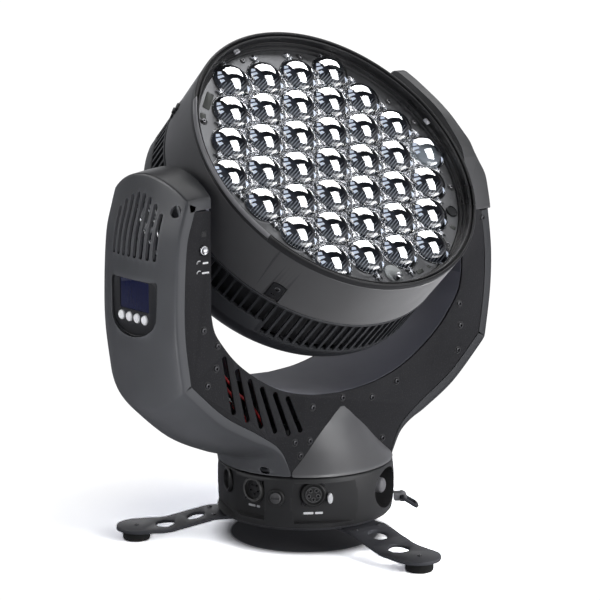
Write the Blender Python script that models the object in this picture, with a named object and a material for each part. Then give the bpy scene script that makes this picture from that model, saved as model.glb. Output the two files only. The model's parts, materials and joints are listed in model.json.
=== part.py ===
"""LED wash moving head light: round base on three legs, U-shaped yoke, drum head with 37 lenses.

Frame: metres, +Z up, origin at the centre of the base's underside, pan axis along Z, tilt axis along X.
The head's own frame has its origin on the tilt axis and its Z along the light beam.
"""

import math

import bmesh
import bpy
from mathutils import Matrix, Vector

MM = 0.001
GAP = 0.4 * MM

# Driving dimensions
FLOOR_Z = -25 * MM
TILT_Z = 305.3 * MM
HEAD_LEAN = math.radians(46.1)
DRUM_RADIUS = 150 * MM
DRUM_FRONT = 68.4 * MM
BEZEL_DEPTH = 6.4 * MM
VENT_TOP = 4.7 * MM
VENT_BOTTOM = -31 * MM
LENS_PITCH = 40.5 * MM
LENS_RADIUS = 19.4 * MM
LENS_PLATE_Z = 50 * MM
BASE_RADIUS = 85.4 * MM
BASE_BELLY = 2.1 * MM
BASE_LOW = 2 * MM
BASE_TOP = 51.7 * MM
ARM_DEPTH = 55.7 * MM
ARM_INNER = 156.5 * MM
SKIN = 2.6 * MM
LEG_ANGLES = {"left": 150, "front": 270, "right": 30}
LEG_WIDTH = 45 * MM
LEG_PAD_RADIUS = 163 * MM
LEG_DROP = 10.6 * MM
LEG_THICKNESS = 3.5 * MM

# Angles of the fittings around the base, in degrees from +X
DATA_IN_ANGLE = -169
FUSE_ANGLE = -148
DATA_OUT_ANGLE = -124
PAN_LOCK_ANGLE = -61
SAFETY_ANGLE = -38
MAINS_ANGLE = 158
SOCKET_Z = 33.8 * MM
FUSE_Z = 32.3 * MM
PAN_LOCK_Z = 29 * MM
POCKET_BACK = 76.5 * MM
POCKET_SIZE = (38 * MM, 41 * MM)
POCKET_Z = 26.6 * MM
OVAL_POCKET_BACK = 64 * MM

# Half of the yoke's front outline from the arm's top to the neck, in mm: x, z, how far the
# middle of the arm stands out beyond it (sideways, upwards), and the width of the rim strip.
ARM_OUTLINE = [
    (157.0, 329.0, 0, 22, 10.0),
    (170.0, 328.5, 1, 21, 10.0),
    (182.5, 327.0, 6, 20, 10.0),
    (187.0, 313.0, 8, 7, 10.0),
    (193.4, 288.0, 10, 0, 9.5),
    (196.5, 242.0, 11, 0, 9.5),
    (196.0, 200.0, 12, -2, 9.5),
    (189.6, 154.0, 11, -22, 9.5),
    (180.5, 144.6, 11, -23, 9.5),
    (148.0, 116.0, 11, -22, 9.5),
    (112.0, 95.0, 14, -17, 9.0),
    (93.0, 86.0, 17, -13, 6.5),
    (83.0, 80.0, 18, -10, 5.0),
    (74.4, 71.8, 20, -5, 3.2),
    (66.6, 57.0, 20, 0, 1.8),
    (64.8, 52.7, 20.6, 0, 1.5),
]
# Half of the opening between the arms, in mm: x, z from the arm's top to the lowest point.
OPENING = [
    (156.5, 317.0),
    (156.5, 222.0),
    (153.5, 207.0),
    (147.0, 195.5),
    (131.0, 176.0),
    (112.0, 160.0),
    (89.0, 145.5),
    (64.7, 135.0),
    (33.0, 127.7),
    (0.0, 125.4),
]
SHOULDER_SEAM = 283 * MM
# Neck cover turned about the pan axis, in mm: radius, z
NECK_PROFILE = [(52.0, 115.5), (55.7, 110.6), (57.9, 99.0), (69.8, 74.6), (83.3, 58.7), (86.0, 52.5)]

BLACK = ("black_plastic", (0.035, 0.036, 0.040), 0.45, 0.0)
TEXTURED = ("textured_plastic", (0.045, 0.046, 0.050), 0.75, 0.0)
STEEL_BLACK = ("black_steel", (0.03, 0.03, 0.035), 0.4, 0.6)
SILVER = ("silver_reflector", (0.75, 0.76, 0.78), 0.3, 1.0)
CLEAR = ("clear_lens", (0.9, 0.93, 0.95), 0.05, 0.0)
ALUMINIUM = ("aluminium", (0.6, 0.61, 0.63), 0.35, 1.0)
RUBBER = ("rubber", (0.02, 0.02, 0.02), 0.9, 0.0)
SCREEN = ("screen", (0.04, 0.05, 0.22), 0.15, 0.0)
WHITE = ("white_plastic", (0.8, 0.82, 0.85), 0.35, 0.0)
GREY = ("grey_plastic", (0.25, 0.25, 0.26), 0.5, 0.0)


# ---------------------------------------------------------------- solids


def new_object(bm):
    """A temporary object holding the closed mesh, with its faces pointing out."""
    bmesh.ops.recalc_face_normals(bm, faces=bm.faces)
    mesh = bpy.data.meshes.new("solid")
    bm.to_mesh(mesh)
    bm.free()
    obj = bpy.data.objects.new("solid", mesh)
    bpy.context.scene.collection.objects.link(obj)
    return obj


def skin_rings(bm, rings, closed):
    """Join successive rings of vertices; a ring of one vertex is a pole."""
    pairs = list(zip(rings, rings[1:]))
    if closed:
        pairs.append((rings[-1], rings[0]))
    for low, high in pairs:
        count = max(len(low), len(high))
        for i in range(count):
            j = (i + 1) % count
            corners = [low[i % len(low)], low[j % len(low)], high[j % len(high)], high[i % len(high)]]
            corners = list(dict.fromkeys(corners))
            if len(corners) > 2:
                bm.faces.new(corners)


def turned(profile, segments=48):
    """Solid of revolution about Z from a closed (radius, z) outline, in metres."""
    bm = bmesh.new()
    rings = []
    for radius, z in profile:
        if radius < 1e-9:
            rings.append([bm.verts.new((0, 0, z))])
            continue
        turn = [math.tau * i / segments for i in range(segments)]
        rings.append([bm.verts.new((radius * math.cos(a), radius * math.sin(a), z)) for a in turn])
    skin_rings(bm, rings, closed=profile[0][0] > 1e-9 or profile[-1][0] > 1e-9)
    return new_object(bm)


def tube(outer, inner, low, high, segments=48):
    return turned([(outer, low), (outer, high), (inner, high), (inner, low)], segments)


def prism(outline, low, high, axis="Z"):
    """Outline extruded along an axis: (x, y) along Z, (x, z) along Y, or (y, z) along X."""
    place = {
        "Z": lambda a, b, c: (a, b, c),
        "Y": lambda a, b, c: (a, c, b),
        "X": lambda a, b, c: (c, a, b),
    }[axis]
    bm = bmesh.new()
    rings = [[bm.verts.new(place(a, b, c)) for a, b in outline] for c in (low, high)]
    skin_rings(bm, rings, closed=False)
    for ring in rings:
        bm.faces.new(ring)
    return new_object(bm)


def box(low, high):
    outline = [(low[0], low[1]), (high[0], low[1]), (high[0], high[1]), (low[0], high[1])]
    return prism(outline, low[2], high[2])


def rounded_rectangle(width, height, radius, centre=(0, 0), steps=4):
    """Outline of a rectangle with round corners."""
    points = []
    corners = [(1, 1, 0), (-1, 1, 90), (-1, -1, 180), (1, -1, 270)]
    for sx, sy, start in corners:
        cx = centre[0] + sx * (width / 2 - radius)
        cy = centre[1] + sy * (height / 2 - radius)
        for i in range(steps + 1):
            a = math.radians(start + 90 * i / steps)
            points.append((cx + radius * math.cos(a), cy + radius * math.sin(a)))
    return points


def ellipse(half_width, half_height, centre=(0, 0), steps=24):
    turn = [math.tau * i / steps for i in range(steps)]
    return [(centre[0] + half_width * math.cos(a), centre[1] + half_height * math.sin(a)) for a in turn]


def rod(radius, low, high, segments=20):
    return prism(ellipse(radius, radius, steps=segments), low, high)


def moved(obj, matrix):
    obj.data.transform(matrix)
    return obj


def shift(obj, x=0, y=0, z=0):
    return moved(obj, Matrix.Translation((x, y, z)))


def along_x(obj):
    """Turn a solid built along Z so that it runs along X."""
    return moved(obj, Matrix.Rotation(math.radians(90), 4, "Y"))


def around(obj, degrees):
    """Turn a solid about the Z axis."""
    return moved(obj, Matrix.Rotation(math.radians(degrees), 4, "Z"))


def combine(target, tools, operation):
    """Apply exact Booleans with the tools to the target, then remove the tools."""
    for tool in tools:
        modifier = target.modifiers.new("combine", "BOOLEAN")
        modifier.operation = operation
        modifier.solver = "EXACT"
        modifier.object = tool
    bpy.context.view_layer.update()
    evaluated = target.evaluated_get(bpy.context.evaluated_depsgraph_get())
    mesh = bpy.data.meshes.new_from_object(evaluated)
    target.modifiers.clear()
    target.data = mesh
    for tool in tools:
        bpy.data.objects.remove(tool, do_unlink=True)
    return target


def cut(target, *tools):
    return combine(target, tools, "DIFFERENCE")


def join(target, *tools):
    return combine(target, tools, "UNION")


def keep_inside(target, *tools):
    return combine(target, tools, "INTERSECT")


def finish(obj, name, look, parent=None, location=(0, 0, 0)):
    """Name a finished sub-part, give it its material and hang it on its joint's empty."""
    title, colour, roughness, metallic = look
    material = bpy.data.materials.get(title) or bpy.data.materials.new(title)
    material.use_nodes = True
    shader = material.node_tree.nodes["Principled BSDF"]
    shader.inputs["Base Color"].default_value = (*colour, 1)
    shader.inputs["Roughness"].default_value = roughness
    shader.inputs["Metallic"].default_value = metallic
    obj.data.materials.clear()
    obj.data.materials.append(material)
    obj.name = name
    obj.data.name = name
    obj.parent = parent
    obj.location = location
    obj.data.shade_smooth()
    obj.data.set_sharp_from_angle(angle=math.radians(35))
    return obj


def empty(name, location, rotation=(0, 0, 0), parent=None):
    obj = bpy.data.objects.new(name, None)
    bpy.context.scene.collection.objects.link(obj)
    obj.location = location
    obj.rotation_euler = rotation
    obj.parent = parent
    return obj


# ---------------------------------------------------------------- base


def belly(z):
    """Radius of the slightly barrel-shaped base wall at height z."""
    middle = (BASE_LOW + BASE_TOP) / 2
    half = (BASE_TOP - BASE_LOW) / 2
    return BASE_RADIUS + BASE_BELLY * (1 - ((z - middle) / half) ** 2)


def base_wall(inset, low, high, steps=4):
    heights = [low + (high - low) * i / steps for i in range(steps + 1)]
    return [(belly(z) - inset, z) for z in heights]


def pocket(outline, back, degrees):
    """Cutter for a recess in the base wall whose flat back is at the given radius."""
    return around(prism(outline, back, 95 * MM, "X"), degrees)


def base_pockets(margin):
    """The four recesses; with a margin they are the blocks that line them."""
    width, height = (size + 2 * margin for size in POCKET_SIZE)
    square = rounded_rectangle(width, height, 8 * MM, (0, POCKET_Z), 2)
    oval = ellipse(14 * MM + margin, 19.5 * MM + margin, (0, POCKET_Z), 16)
    pockets = [pocket(square, POCKET_BACK - margin, a) for a in (DATA_IN_ANGLE, DATA_OUT_ANGLE, MAINS_ANGLE)]
    return pockets + [pocket(oval, OVAL_POCKET_BACK - margin, PAN_LOCK_ANGLE)]


def radial_rod(radius, low, high, degrees, z, segments=16):
    return around(shift(along_x(rod(radius, low, high, segments)), z=z), degrees)


def build_base_housing():
    hole = 22.8 * MM
    deck = BASE_TOP - 3 * MM
    inside = list(reversed(base_wall(3 * MM, BASE_LOW, deck, 2)))
    body = turned(base_wall(0, BASE_LOW, BASE_TOP) + [(hole, BASE_TOP), (hole, deck)] + inside, 50)
    for lining in base_pockets(2.4 * MM):
        limit = turned([(0, 3 * MM)] + base_wall(1.5 * MM, 3 * MM, 50 * MM) + [(0, 50 * MM)], 50)
        join(body, keep_inside(lining, limit))
    cut(body, *base_pockets(0))
    holes = []
    for angle in (DATA_IN_ANGLE, DATA_OUT_ANGLE, MAINS_ANGLE):
        holes.append(radial_rod(9.4 * MM, 68 * MM, 80 * MM, angle, SOCKET_Z))
    holes.append(radial_rod(6.5 * MM, 78 * MM, 95 * MM, FUSE_ANGLE, FUSE_Z))
    holes.append(radial_rod(3.4 * MM, 56 * MM, 70 * MM, PAN_LOCK_ANGLE, PAN_LOCK_Z, 16))
    cut(body, *holes)
    finish(body, "base_housing", BLACK)


def build_base_bottom_plate():
    plate = rod(84 * MM, 0, BASE_LOW - GAP, 50)
    finish(plate, "base_bottom_plate", STEEL_BLACK)


def leg_outline():
    """Plan of one leg along +X: straight sides and a round end."""
    half = LEG_WIDTH / 2
    tip = [math.radians(-90 + 180 * i / 12) for i in range(13)]
    points = [(58 * MM, -half), *((LEG_PAD_RADIUS + half * math.cos(a), half * math.sin(a)) for a in tip)]
    return points + [(58 * MM, half)]


def build_leg(side, degrees):
    top = [(50 * MM, -GAP), (94 * MM, -GAP), (136 * MM, -GAP - LEG_DROP), (200 * MM, -GAP - LEG_DROP)]
    bottom = [(r, z - LEG_THICKNESS) for r, z in reversed(top)]
    leg = prism(leg_outline(), -60 * MM, 40 * MM)
    keep_inside(leg, prism(top + bottom, -60 * MM, 60 * MM, "Y"))
    inner_hole = prism(ellipse(9 * MM, 9.5 * MM, (108 * MM, 0), 16), -60 * MM, 40 * MM)
    outer_hole = prism(ellipse(9.5 * MM, 11 * MM, (138 * MM, 0), 16), -60 * MM, 40 * MM)
    cut(leg, inner_hole, outer_hole)
    finish(around(leg, degrees), f"leg_{side}", STEEL_BLACK)
    pad_top = -2 * GAP - LEG_DROP - LEG_THICKNESS
    wall = [(12 * MM, FLOOR_Z), (13.5 * MM, FLOOR_Z + 2 * MM), (13 * MM, pad_top)]
    pad = turned([(0, FLOOR_Z), *wall, (0, pad_top)], 24)
    finish(around(shift(pad, x=LEG_PAD_RADIUS + 3 * MM), degrees), f"foot_{side}", RUBBER)


def socket_body(floor):
    """Round panel connector along +X: flange on the recess wall, barrel behind it, cup in front."""
    seat = POCKET_BACK + GAP
    outline = [
        (0, 58 * MM),
        (8.9 * MM, 58 * MM),
        (8.9 * MM, seat),
        (12.6 * MM, seat),
        (12.6 * MM, seat + 1.6 * MM),
        (11 * MM, seat + 3.2 * MM),
        (9.2 * MM, seat + 3.2 * MM),
        (8.6 * MM, seat + floor),
        (0, seat + floor),
    ]
    return along_x(turned(outline, 14))


def contacts(radius, circle, low, high):
    """Five round contacts of a data socket, on a circle about +X."""
    rods = []
    for i in range(5):
        a = math.radians(54 + 72 * i)
        contact = along_x(rod(radius, POCKET_BACK + low, POCKET_BACK + high, 8))
        rods.append(shift(contact, y=circle * math.cos(a), z=circle * math.sin(a)))
    return rods


def build_sockets():
    inlet = socket_body(-6 * MM)
    join(inlet, *contacts(1.1 * MM, 5 * MM, -7 * MM, 2 * MM))
    finish(around(shift(inlet, z=SOCKET_Z), DATA_IN_ANGLE), "data_in_socket", BLACK)
    outlet = socket_body(2.4 * MM)
    cut(outlet, *contacts(1.2 * MM, 4.6 * MM, -4 * MM, 9 * MM))
    finish(around(shift(outlet, z=SOCKET_Z), DATA_OUT_ANGLE), "data_out_socket", BLACK)
    mains = socket_body(-8 * MM)
    join(mains, along_x(rod(4.5 * MM, POCKET_BACK - 9 * MM, POCKET_BACK + 1 * MM, 16)))
    finish(around(shift(mains, z=SOCKET_Z), MAINS_ANGLE), "mains_inlet", WHITE)


def build_base_controls():
    tab = prism(rounded_rectangle(5 * MM, 10 * MM, 2.4 * MM), 77.4 * MM, 81.5 * MM, "X")
    tab_place = Matrix.Rotation(math.radians(DATA_OUT_ANGLE), 4, "Z") @ Vector((0, 15.8 * MM, 30 * MM))
    finish(around(tab, DATA_OUT_ANGLE), "data_out_latch", WHITE, location=tab_place)
    holder = along_x(
        turned(
            [
                (5.6 * MM, 70 * MM),
                (6.1 * MM, 70 * MM),
                (6.1 * MM, 88.1 * MM),
                (8.4 * MM, 88.1 * MM),
                (8.0 * MM, 89.6 * MM),
                (5.6 * MM, 89.6 * MM),
            ],
            18,
        )
    )
    finish(around(shift(holder, z=FUSE_Z), FUSE_ANGLE), "fuse_holder", BLACK)
    cap = rod(5.2 * MM, 74 * MM, 91 * MM, 20)
    cut(cap, box((-0.6 * MM, -6 * MM, 89.8 * MM), (0.6 * MM, 6 * MM, 92 * MM)))
    cap = around(along_x(cap), FUSE_ANGLE)
    finish(cap, "fuse_cap", GREY, location=(0, 0, FUSE_Z))
    knob = turned(
        [
            (0, 60 * MM),
            (3 * MM, 60 * MM),
            (3 * MM, 68.5 * MM),
            (7.4 * MM, 68.5 * MM),
            (7.4 * MM, 74 * MM),
            (5.5 * MM, 76.5 * MM),
            (0, 77.3 * MM),
        ],
        24,
    )
    finish(around(along_x(knob), PAN_LOCK_ANGLE), "pan_lock_knob", GREY, location=(0, 0, PAN_LOCK_Z))


SAFETY_PIVOT = (95.5 * MM, 0, 9 * MM)


def build_safety_ring():
    """Eyelet on the base wall with a square link that hangs in it."""
    x, y, z = SAFETY_PIVOT
    eye = prism(ellipse(4.8 * MM, 4.8 * MM, (x, z), 20), -5 * MM, 5 * MM, "Y")
    join(eye, box((87.6 * MM, -5 * MM, 5 * MM), (94 * MM, 5 * MM, 13 * MM)))
    cut(eye, prism(ellipse(2.5 * MM, 2.5 * MM, (x, z), 16), -9 * MM, 9 * MM, "Y"))
    finish(around(eye, SAFETY_ANGLE), "safety_eyelet", GREY)
    link = prism(rounded_rectangle(20 * MM, 19 * MM, 3.5 * MM, (8 * MM, 0)), -1.4 * MM, 1.4 * MM)
    cut(link, prism(rounded_rectangle(14.4 * MM, 13.4 * MM, 1.2 * MM, (8 * MM, 0)), -9 * MM, 9 * MM))
    shift(link, x=0.6 * MM)
    moved(link, Matrix.Rotation(math.radians(32), 4, "Y"))
    turn = Matrix.Rotation(math.radians(SAFETY_ANGLE), 4, "Z")
    finish(around(link, SAFETY_ANGLE), "safety_ring", STEEL_BLACK, location=turn @ Vector(SAFETY_PIVOT))


PAN_PULLEY_Z = (66 * MM, 75 * MM)
PAN_PULLEY_RADIUS = 38 * MM
MOTOR_PULLEY_RADIUS = 8 * MM
PAN_MOTOR_X = 60 * MM
BELT = 1.6 * MM


def build_pan_drive_base():
    low, high = PAN_PULLEY_Z
    shaft = turned(
        [
            (17 * MM, 40 * MM),
            (29 * MM, 40 * MM),
            (29 * MM, 48.3 * MM),
            (22 * MM, 48.3 * MM),
            (22 * MM, low),
            (PAN_PULLEY_RADIUS, low),
            (PAN_PULLEY_RADIUS, high),
            (22 * MM, high),
            (22 * MM, 80 * MM),
            (17 * MM, 80 * MM),
        ],
        24,
    )
    finish(shaft, "pan_shaft_pulley", ALUMINIUM)


# ---------------------------------------------------------------- yoke


def bulge(y):
    """0 at the arm's front and rear faces, 1 at its middle, along an arc of the neck's radius."""
    y = max(-ARM_DEPTH, min(ARM_DEPTH, y))
    edge = math.sqrt(BASE_RADIUS**2 - ARM_DEPTH**2)
    return (math.sqrt(BASE_RADIUS**2 - y**2) - edge) / (BASE_RADIUS - edge)


def outline_normals(points):
    """Unit normals that point into the arm, for an outline that runs with the arm on its left."""
    normals = []
    for i in range(len(points)):
        a = points[max(i - 1, 0)]
        b = points[min(i + 1, len(points) - 1)]
        length = math.hypot(b[0] - a[0], b[1] - a[1])
        normals.append((-(b[1] - a[1]) / length, (b[0] - a[0]) / length))
    return normals


def rim_points(extra, first=0):
    """Left half's outline moved inwards by its rim strip's width plus extra, in metres."""
    points = [(-x, z) for x, z, *_ in ARM_OUTLINE]
    rows = []
    for (x, z), (nx, nz), station in zip(points, outline_normals(points), ARM_OUTLINE):
        inset = station[4] + extra
        rows.append(((x + nx * inset) * MM, (z + nz * inset) * MM))
    return rows[first:]


def arm_shell(stations):
    """Left cover: a channel along the outline with a crowned outer wall and two rim strips."""
    points = [(-s[0], s[1]) for s in stations]
    normals = outline_normals(points)
    depth = ARM_DEPTH / MM
    wall = SKIN / MM
    rows = 6
    across = [-depth + 2 * depth * j / rows for j in range(rows + 1)]
    inner_across = [(depth - wall) * (1 - 2 * j / rows) for j in range(rows + 1)]
    bm = bmesh.new()
    rings = []
    for (x, z), (nx, nz), (_, _, out, up, strip) in zip(points, normals, stations):
        loop = [(x - out * bulge(y * MM), y, z + up * bulge(y * MM)) for y in across]
        loop += [(x + nx * strip, y, z + nz * strip) for y in (depth, depth - wall)]
        for y in inner_across:
            b = bulge(y * MM)
            inset = min(wall, strip - 0.2)
            loop.append((x - out * b + nx * inset, y, z + up * b + nz * inset))
        loop += [(x + nx * strip, y, z + nz * strip) for y in (wall - depth, -depth)]
        rings.append([bm.verts.new(Vector(p) * MM) for p in loop])
    skin_rings(bm, rings, closed=False)
    bm.faces.new(rings[0])
    bm.faces.new(rings[-1])
    return new_object(bm)


def vent_cutters(side):
    """Upright slots near the top of the arm's outer face."""
    cutters = []
    for i in range(8):
        y = (30.8 - 8.8 * i) * MM
        top = (331 - 16 * (y / (31 * MM)) ** 2) * MM
        outline = rounded_rectangle(4.4 * MM, top - 272 * MM, 2.1 * MM, (y, (top + 272 * MM) / 2), 1)
        x = sorted((side * 178 * MM, side * 230 * MM))
        cutters.append(prism(outline, x[0], x[1], "X"))
    return cutters


DISPLAY_Y = -1.5 * MM
DISPLAY_FACE = -203.4 * MM


def display_outline(inset):
    """Display panel: straight top and sides, lower edge a shallow arc."""
    half = 33.5 * MM - inset
    top = 252.5 * MM - inset
    side = 220 * MM
    low = 199.5 * MM + inset
    points = [(DISPLAY_Y - half, top), (DISPLAY_Y - half, side)]
    for i in range(1, 10):
        a = math.pi * i / 10
        points.append((DISPLAY_Y - half * math.cos(a), side - (side - low) * math.sin(a)))
    return points + [(DISPLAY_Y + half, side), (DISPLAY_Y + half, top)]


BUTTON_YS = [18.6 * MM, 6.8 * MM, -5.0 * MM, -16.8 * MM]
BUTTON_Z = 216.4 * MM
LCD_SIZE = (40 * MM, 26 * MM)
LCD_Z = 237.5 * MM


def build_left_arm(yoke):
    shell = arm_shell(ARM_OUTLINE)
    hole = shift(along_x(rod(5.5 * MM, -230 * MM, -180 * MM, 16)), y=-46 * MM, z=318 * MM)
    cut(shell, prism(display_outline(0), -230 * MM, -190 * MM, "X"), hole, *vent_cutters(-1))
    finish(shell, "left_arm_cover", BLACK, yoke)
    panel = prism(display_outline(GAP), DISPLAY_FACE, DISPLAY_FACE + 3 * MM, "X")
    window = rounded_rectangle(LCD_SIZE[0] + GAP, LCD_SIZE[1] + GAP, 1.5 * MM, (DISPLAY_Y, LCD_Z), 2)
    cutters = [prism(window, -230 * MM, -190 * MM, "X")]
    for y in BUTTON_YS:
        cutters.append(shift(along_x(rod(4.5 * MM, -230 * MM, -190 * MM, 16)), y=y, z=BUTTON_Z))
    cut(panel, *cutters)
    finish(panel, "display_panel", BLACK, yoke)
    glass = rounded_rectangle(LCD_SIZE[0] - GAP, LCD_SIZE[1] - GAP, 1.3 * MM, (DISPLAY_Y, LCD_Z), 2)
    finish(prism(glass, DISPLAY_FACE + 0.3 * MM, DISPLAY_FACE + 3 * MM, "X"), "lcd_window", SCREEN, yoke)
    for number, y in enumerate(BUTTON_YS, 1):
        wall = [(3.2 * MM, -1.8 * MM), (4.1 * MM, -1.1 * MM), (4.1 * MM, 5 * MM)]
        button = along_x(turned([(0, -1.8 * MM), *wall, (0, 5 * MM)], 16))
        finish(button, f"menu_button_{number}", WHITE, yoke, (DISPLAY_FACE, y, BUTTON_Z))


def station_at(z):
    """Arm outline values interpolated at a height on the straight part of the arm, in mm."""
    for a, b in zip(ARM_OUTLINE, ARM_OUTLINE[1:]):
        if a[1] >= z >= b[1]:
            t = (a[1] - z) / (a[1] - b[1])
            return tuple(u + (v - u) * t for u, v in zip(a, b))
    return ARM_OUTLINE[0]


def build_right_arm(yoke):
    seam = station_at(SHOULDER_SEAM / MM - 0.3)
    lower = [seam] + [s for s in ARM_OUTLINE if s[1] < seam[1]]
    shell = arm_shell(lower)
    moved(shell, Matrix.Scale(-1, 4, (1, 0, 0)))
    shell.data.flip_normals()
    finish(shell, "right_arm_cover", BLACK, yoke)


# Side view of the shoulder's raked top, in mm: y, z
SHOULDER_TOP = [
    (-55.7, 336),
    (-53, 344),
    (-44, 356),
    (-34, 366),
    (-22.6, 377),
    (-8, 387),
    (8, 396),
    (25, 405),
    (42, 413),
]
SHOULDER_BACK = [(49, 412.5), (54, 408), (55.7, 401)]
# Outer face of the shoulder from the seam up, in mm: x, z, and how far its middle stands out
SHOULDER_FACE = [
    (193.9, 283, 10),
    (190.5, 300, 10),
    (185.5, 318, 10),
    (175.0, 334, 14),
    (168.6, 346, 17.5),
    (166.4, 358, 8),
    (166.2, 370, 3),
    (166.4, 385, 0.5),
    (168.0, 420, 0.5),
]


def shoulder_solid(inset):
    """Shoulder volume; with an inset, in mm, it is the hollow inside, open at the seam."""
    seam = SHOULDER_SEAM / MM
    floor = seam - (30 if inset else 0)
    edge = ARM_DEPTH / MM - inset
    side = [(-edge, floor)]
    side += [(y + inset * 0.6 if y < 0 else y, z - inset * 1.1) for y, z in SHOULDER_TOP]
    side[1] = (-edge, side[1][1])
    side += [(y - inset * 0.6, z - inset) for y, z in SHOULDER_BACK]
    side[-1] = (edge, side[-1][1])
    side += [(edge, floor)]
    inner = ARM_INNER / MM + 0.5 + inset
    body = prism([(y * MM, z * MM) for y, z in side], inner * MM, 230 * MM, "X")
    bm = bmesh.new()
    rings = []
    reach = 60
    rows = 8
    for x, z, crown in SHOULDER_FACE:
        z = z if z > seam else floor - 3 - inset * 0.5
        ring = [bm.verts.new(Vector((140, y, z)) * MM) for y in (reach, -reach)]
        for j in range(rows + 1):
            y = reach * (2 * j / rows - 1)
            ring.append(bm.verts.new(Vector((x - inset + crown * bulge(y * MM), y, z)) * MM))
        rings.append(ring)
    skin_rings(bm, rings, closed=False)
    bm.faces.new(rings[0])
    bm.faces.new(rings[-1])
    return keep_inside(body, new_object(bm))


def arm_wall_outline(margin):
    """Arched top of the arm's inner wall, seen along X."""
    half = ARM_DEPTH - SKIN - GAP + margin
    ys = [half * (1 - i / 4) for i in range(9)]
    arch = [(y, (325.4 + 21.6 * bulge(y)) * MM + margin) for y in ys]
    return arch + [(-half, 160 * MM), (half, 160 * MM)]


def build_right_shoulder(yoke):
    cap = shoulder_solid(0)
    cut(cap, shoulder_solid(SKIN / MM))
    cut(cap, prism(arm_wall_outline(GAP), 150 * MM, 165 * MM, "X"))
    finish(cap, "right_shoulder_cover", BLACK, yoke)


def opening_outline(offset):
    """Left half of the opening between the arms, grown outwards by an offset."""
    points = [(-x, z) for x, z in OPENING]
    normals = outline_normals(points)
    return [((x - nx * offset) * MM, (z - nz * offset) * MM) for (x, z), (nx, nz) in zip(points, normals)]


def mirrored(points):
    return [(-x, z) for x, z in reversed(points) if abs(x) > 1e-6]


def build_yoke_frame(yoke):
    """Curved trough under the head with the arms' inner walls and two webs down to the floor plate."""
    inner = opening_outline(0)
    outer = opening_outline(3)
    half = ARM_DEPTH - SKIN - GAP - 0.1 * MM
    loop = inner + mirrored(inner) + list(reversed(outer + mirrored(outer)))
    frame = prism(loop, -half, half, "Y")
    arch = arm_wall_outline(-GAP)
    walls = [prism(arch, *x, "X") for x in ((-160 * MM, -ARM_INNER), (ARM_INNER, 160 * MM))]
    webs = []
    for side in (-1, 1):
        y = sorted((side * 46 * MM, side * 49 * MM))
        webs.append(box((-36 * MM, y[0], 56.6 * MM), (36 * MM, y[1], 127 * MM)))
    for wall in walls:
        keep_inside(wall, box((-170 * MM, -60 * MM, 214 * MM), (170 * MM, 60 * MM, 400 * MM)))
    join(frame, *walls, *webs)
    cut(frame, shift(along_x(rod(18.4 * MM, -170 * MM, 170 * MM, 28)), z=TILT_Z))
    finish(frame, "yoke_frame", BLACK, yoke)


def neck_profile(offset):
    return [((r + offset) * MM, z * MM) for r, z in NECK_PROFILE]


PLATE_SLOTS = [
    (-142.9, 180.8, -131.3, 123.9),
    (-127.9, 166.9, -115.1, 114),
    (-113.3, 155, -98.7, 105.6),
    (-98.9, 145.5, -81.8, 98),
    (-83.4, 137.9, -65.3, 93.1),
    (-68.2, 131.3, -50.7, 93.8),
]
TILT_LOCK_PLACE = (-165.3, 281.7)


def slot_cutter(x0, z0, x1, z1):
    """Slanted slot with round ends between two points."""
    lean = math.atan2(z1 - z0, x1 - x0)
    length = math.hypot(x1 - x0, z1 - z0)
    outline = rounded_rectangle(length, 5.4, 2.6, steps=2)
    cx, cz = (x0 + x1) / 2, (z0 + z1) / 2
    turned_points = []
    for a, b in outline:
        x = cx + a * math.cos(lean) - b * math.sin(lean)
        z = cz + a * math.sin(lean) + b * math.cos(lean)
        turned_points.append((x * MM, z * MM))
    return prism(turned_points, -80 * MM, 80 * MM, "Y")


def plate_outline():
    """Textured plate between the opening and the rim strips, shorter on the right under the shoulder."""
    inner = opening_outline(0)
    rim = rim_points(GAP / MM, 3)
    seam = SHOULDER_SEAM - GAP
    right_inner = [p for p in mirrored(inner) if p[1] < seam - 2 * MM]
    right_rim = [(-x, z) for x, z in rim if z < seam - 2 * MM]
    top = (ARM_OUTLINE[0][1] - ARM_OUTLINE[0][4] - 1.4) * MM
    outline = [(-ARM_INNER, top)] + inner[1:] + right_inner
    outline += [(ARM_INNER, seam), (station_at(SHOULDER_SEAM / MM)[0] * MM - 10 * MM, seam)]
    outline += right_rim + list(reversed(rim)) + [(rim[0][0] + 1.5 * MM, top)]
    return outline


def build_plates(yoke):
    outline = plate_outline()
    low, high = ARM_DEPTH - SKIN, ARM_DEPTH - 0.3 * MM
    front = prism(outline, -high, -low, "Y")
    slots = [slot_cutter(*s) for s in PLATE_SLOTS]
    lock_x, lock_z = (v * MM for v in TILT_LOCK_PLACE)
    lock_hole = prism(ellipse(4.9 * MM, 4.9 * MM, (lock_x, lock_z), 16), -80 * MM, 80 * MM, "Y")
    cut(front, lock_hole, *slots)
    finish(front, "yoke_front_plate", TEXTURED, yoke)
    rear = prism(outline, low, high, "Y")
    cut(rear, *[slot_cutter(*s) for s in PLATE_SLOTS])
    finish(rear, "yoke_rear_plate", TEXTURED, yoke)
    wall = [(4.5 * MM, -8 * MM), (4.5 * MM, 1.2 * MM), (3.6 * MM, 1.9 * MM)]
    button = turned([(0, -8 * MM), *wall, (0, 1.9 * MM)], 20)
    moved(button, Matrix.Rotation(math.radians(90), 4, "X"))
    finish(button, "tilt_lock_button", ALUMINIUM, yoke, (lock_x, -high, lock_z))


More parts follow.
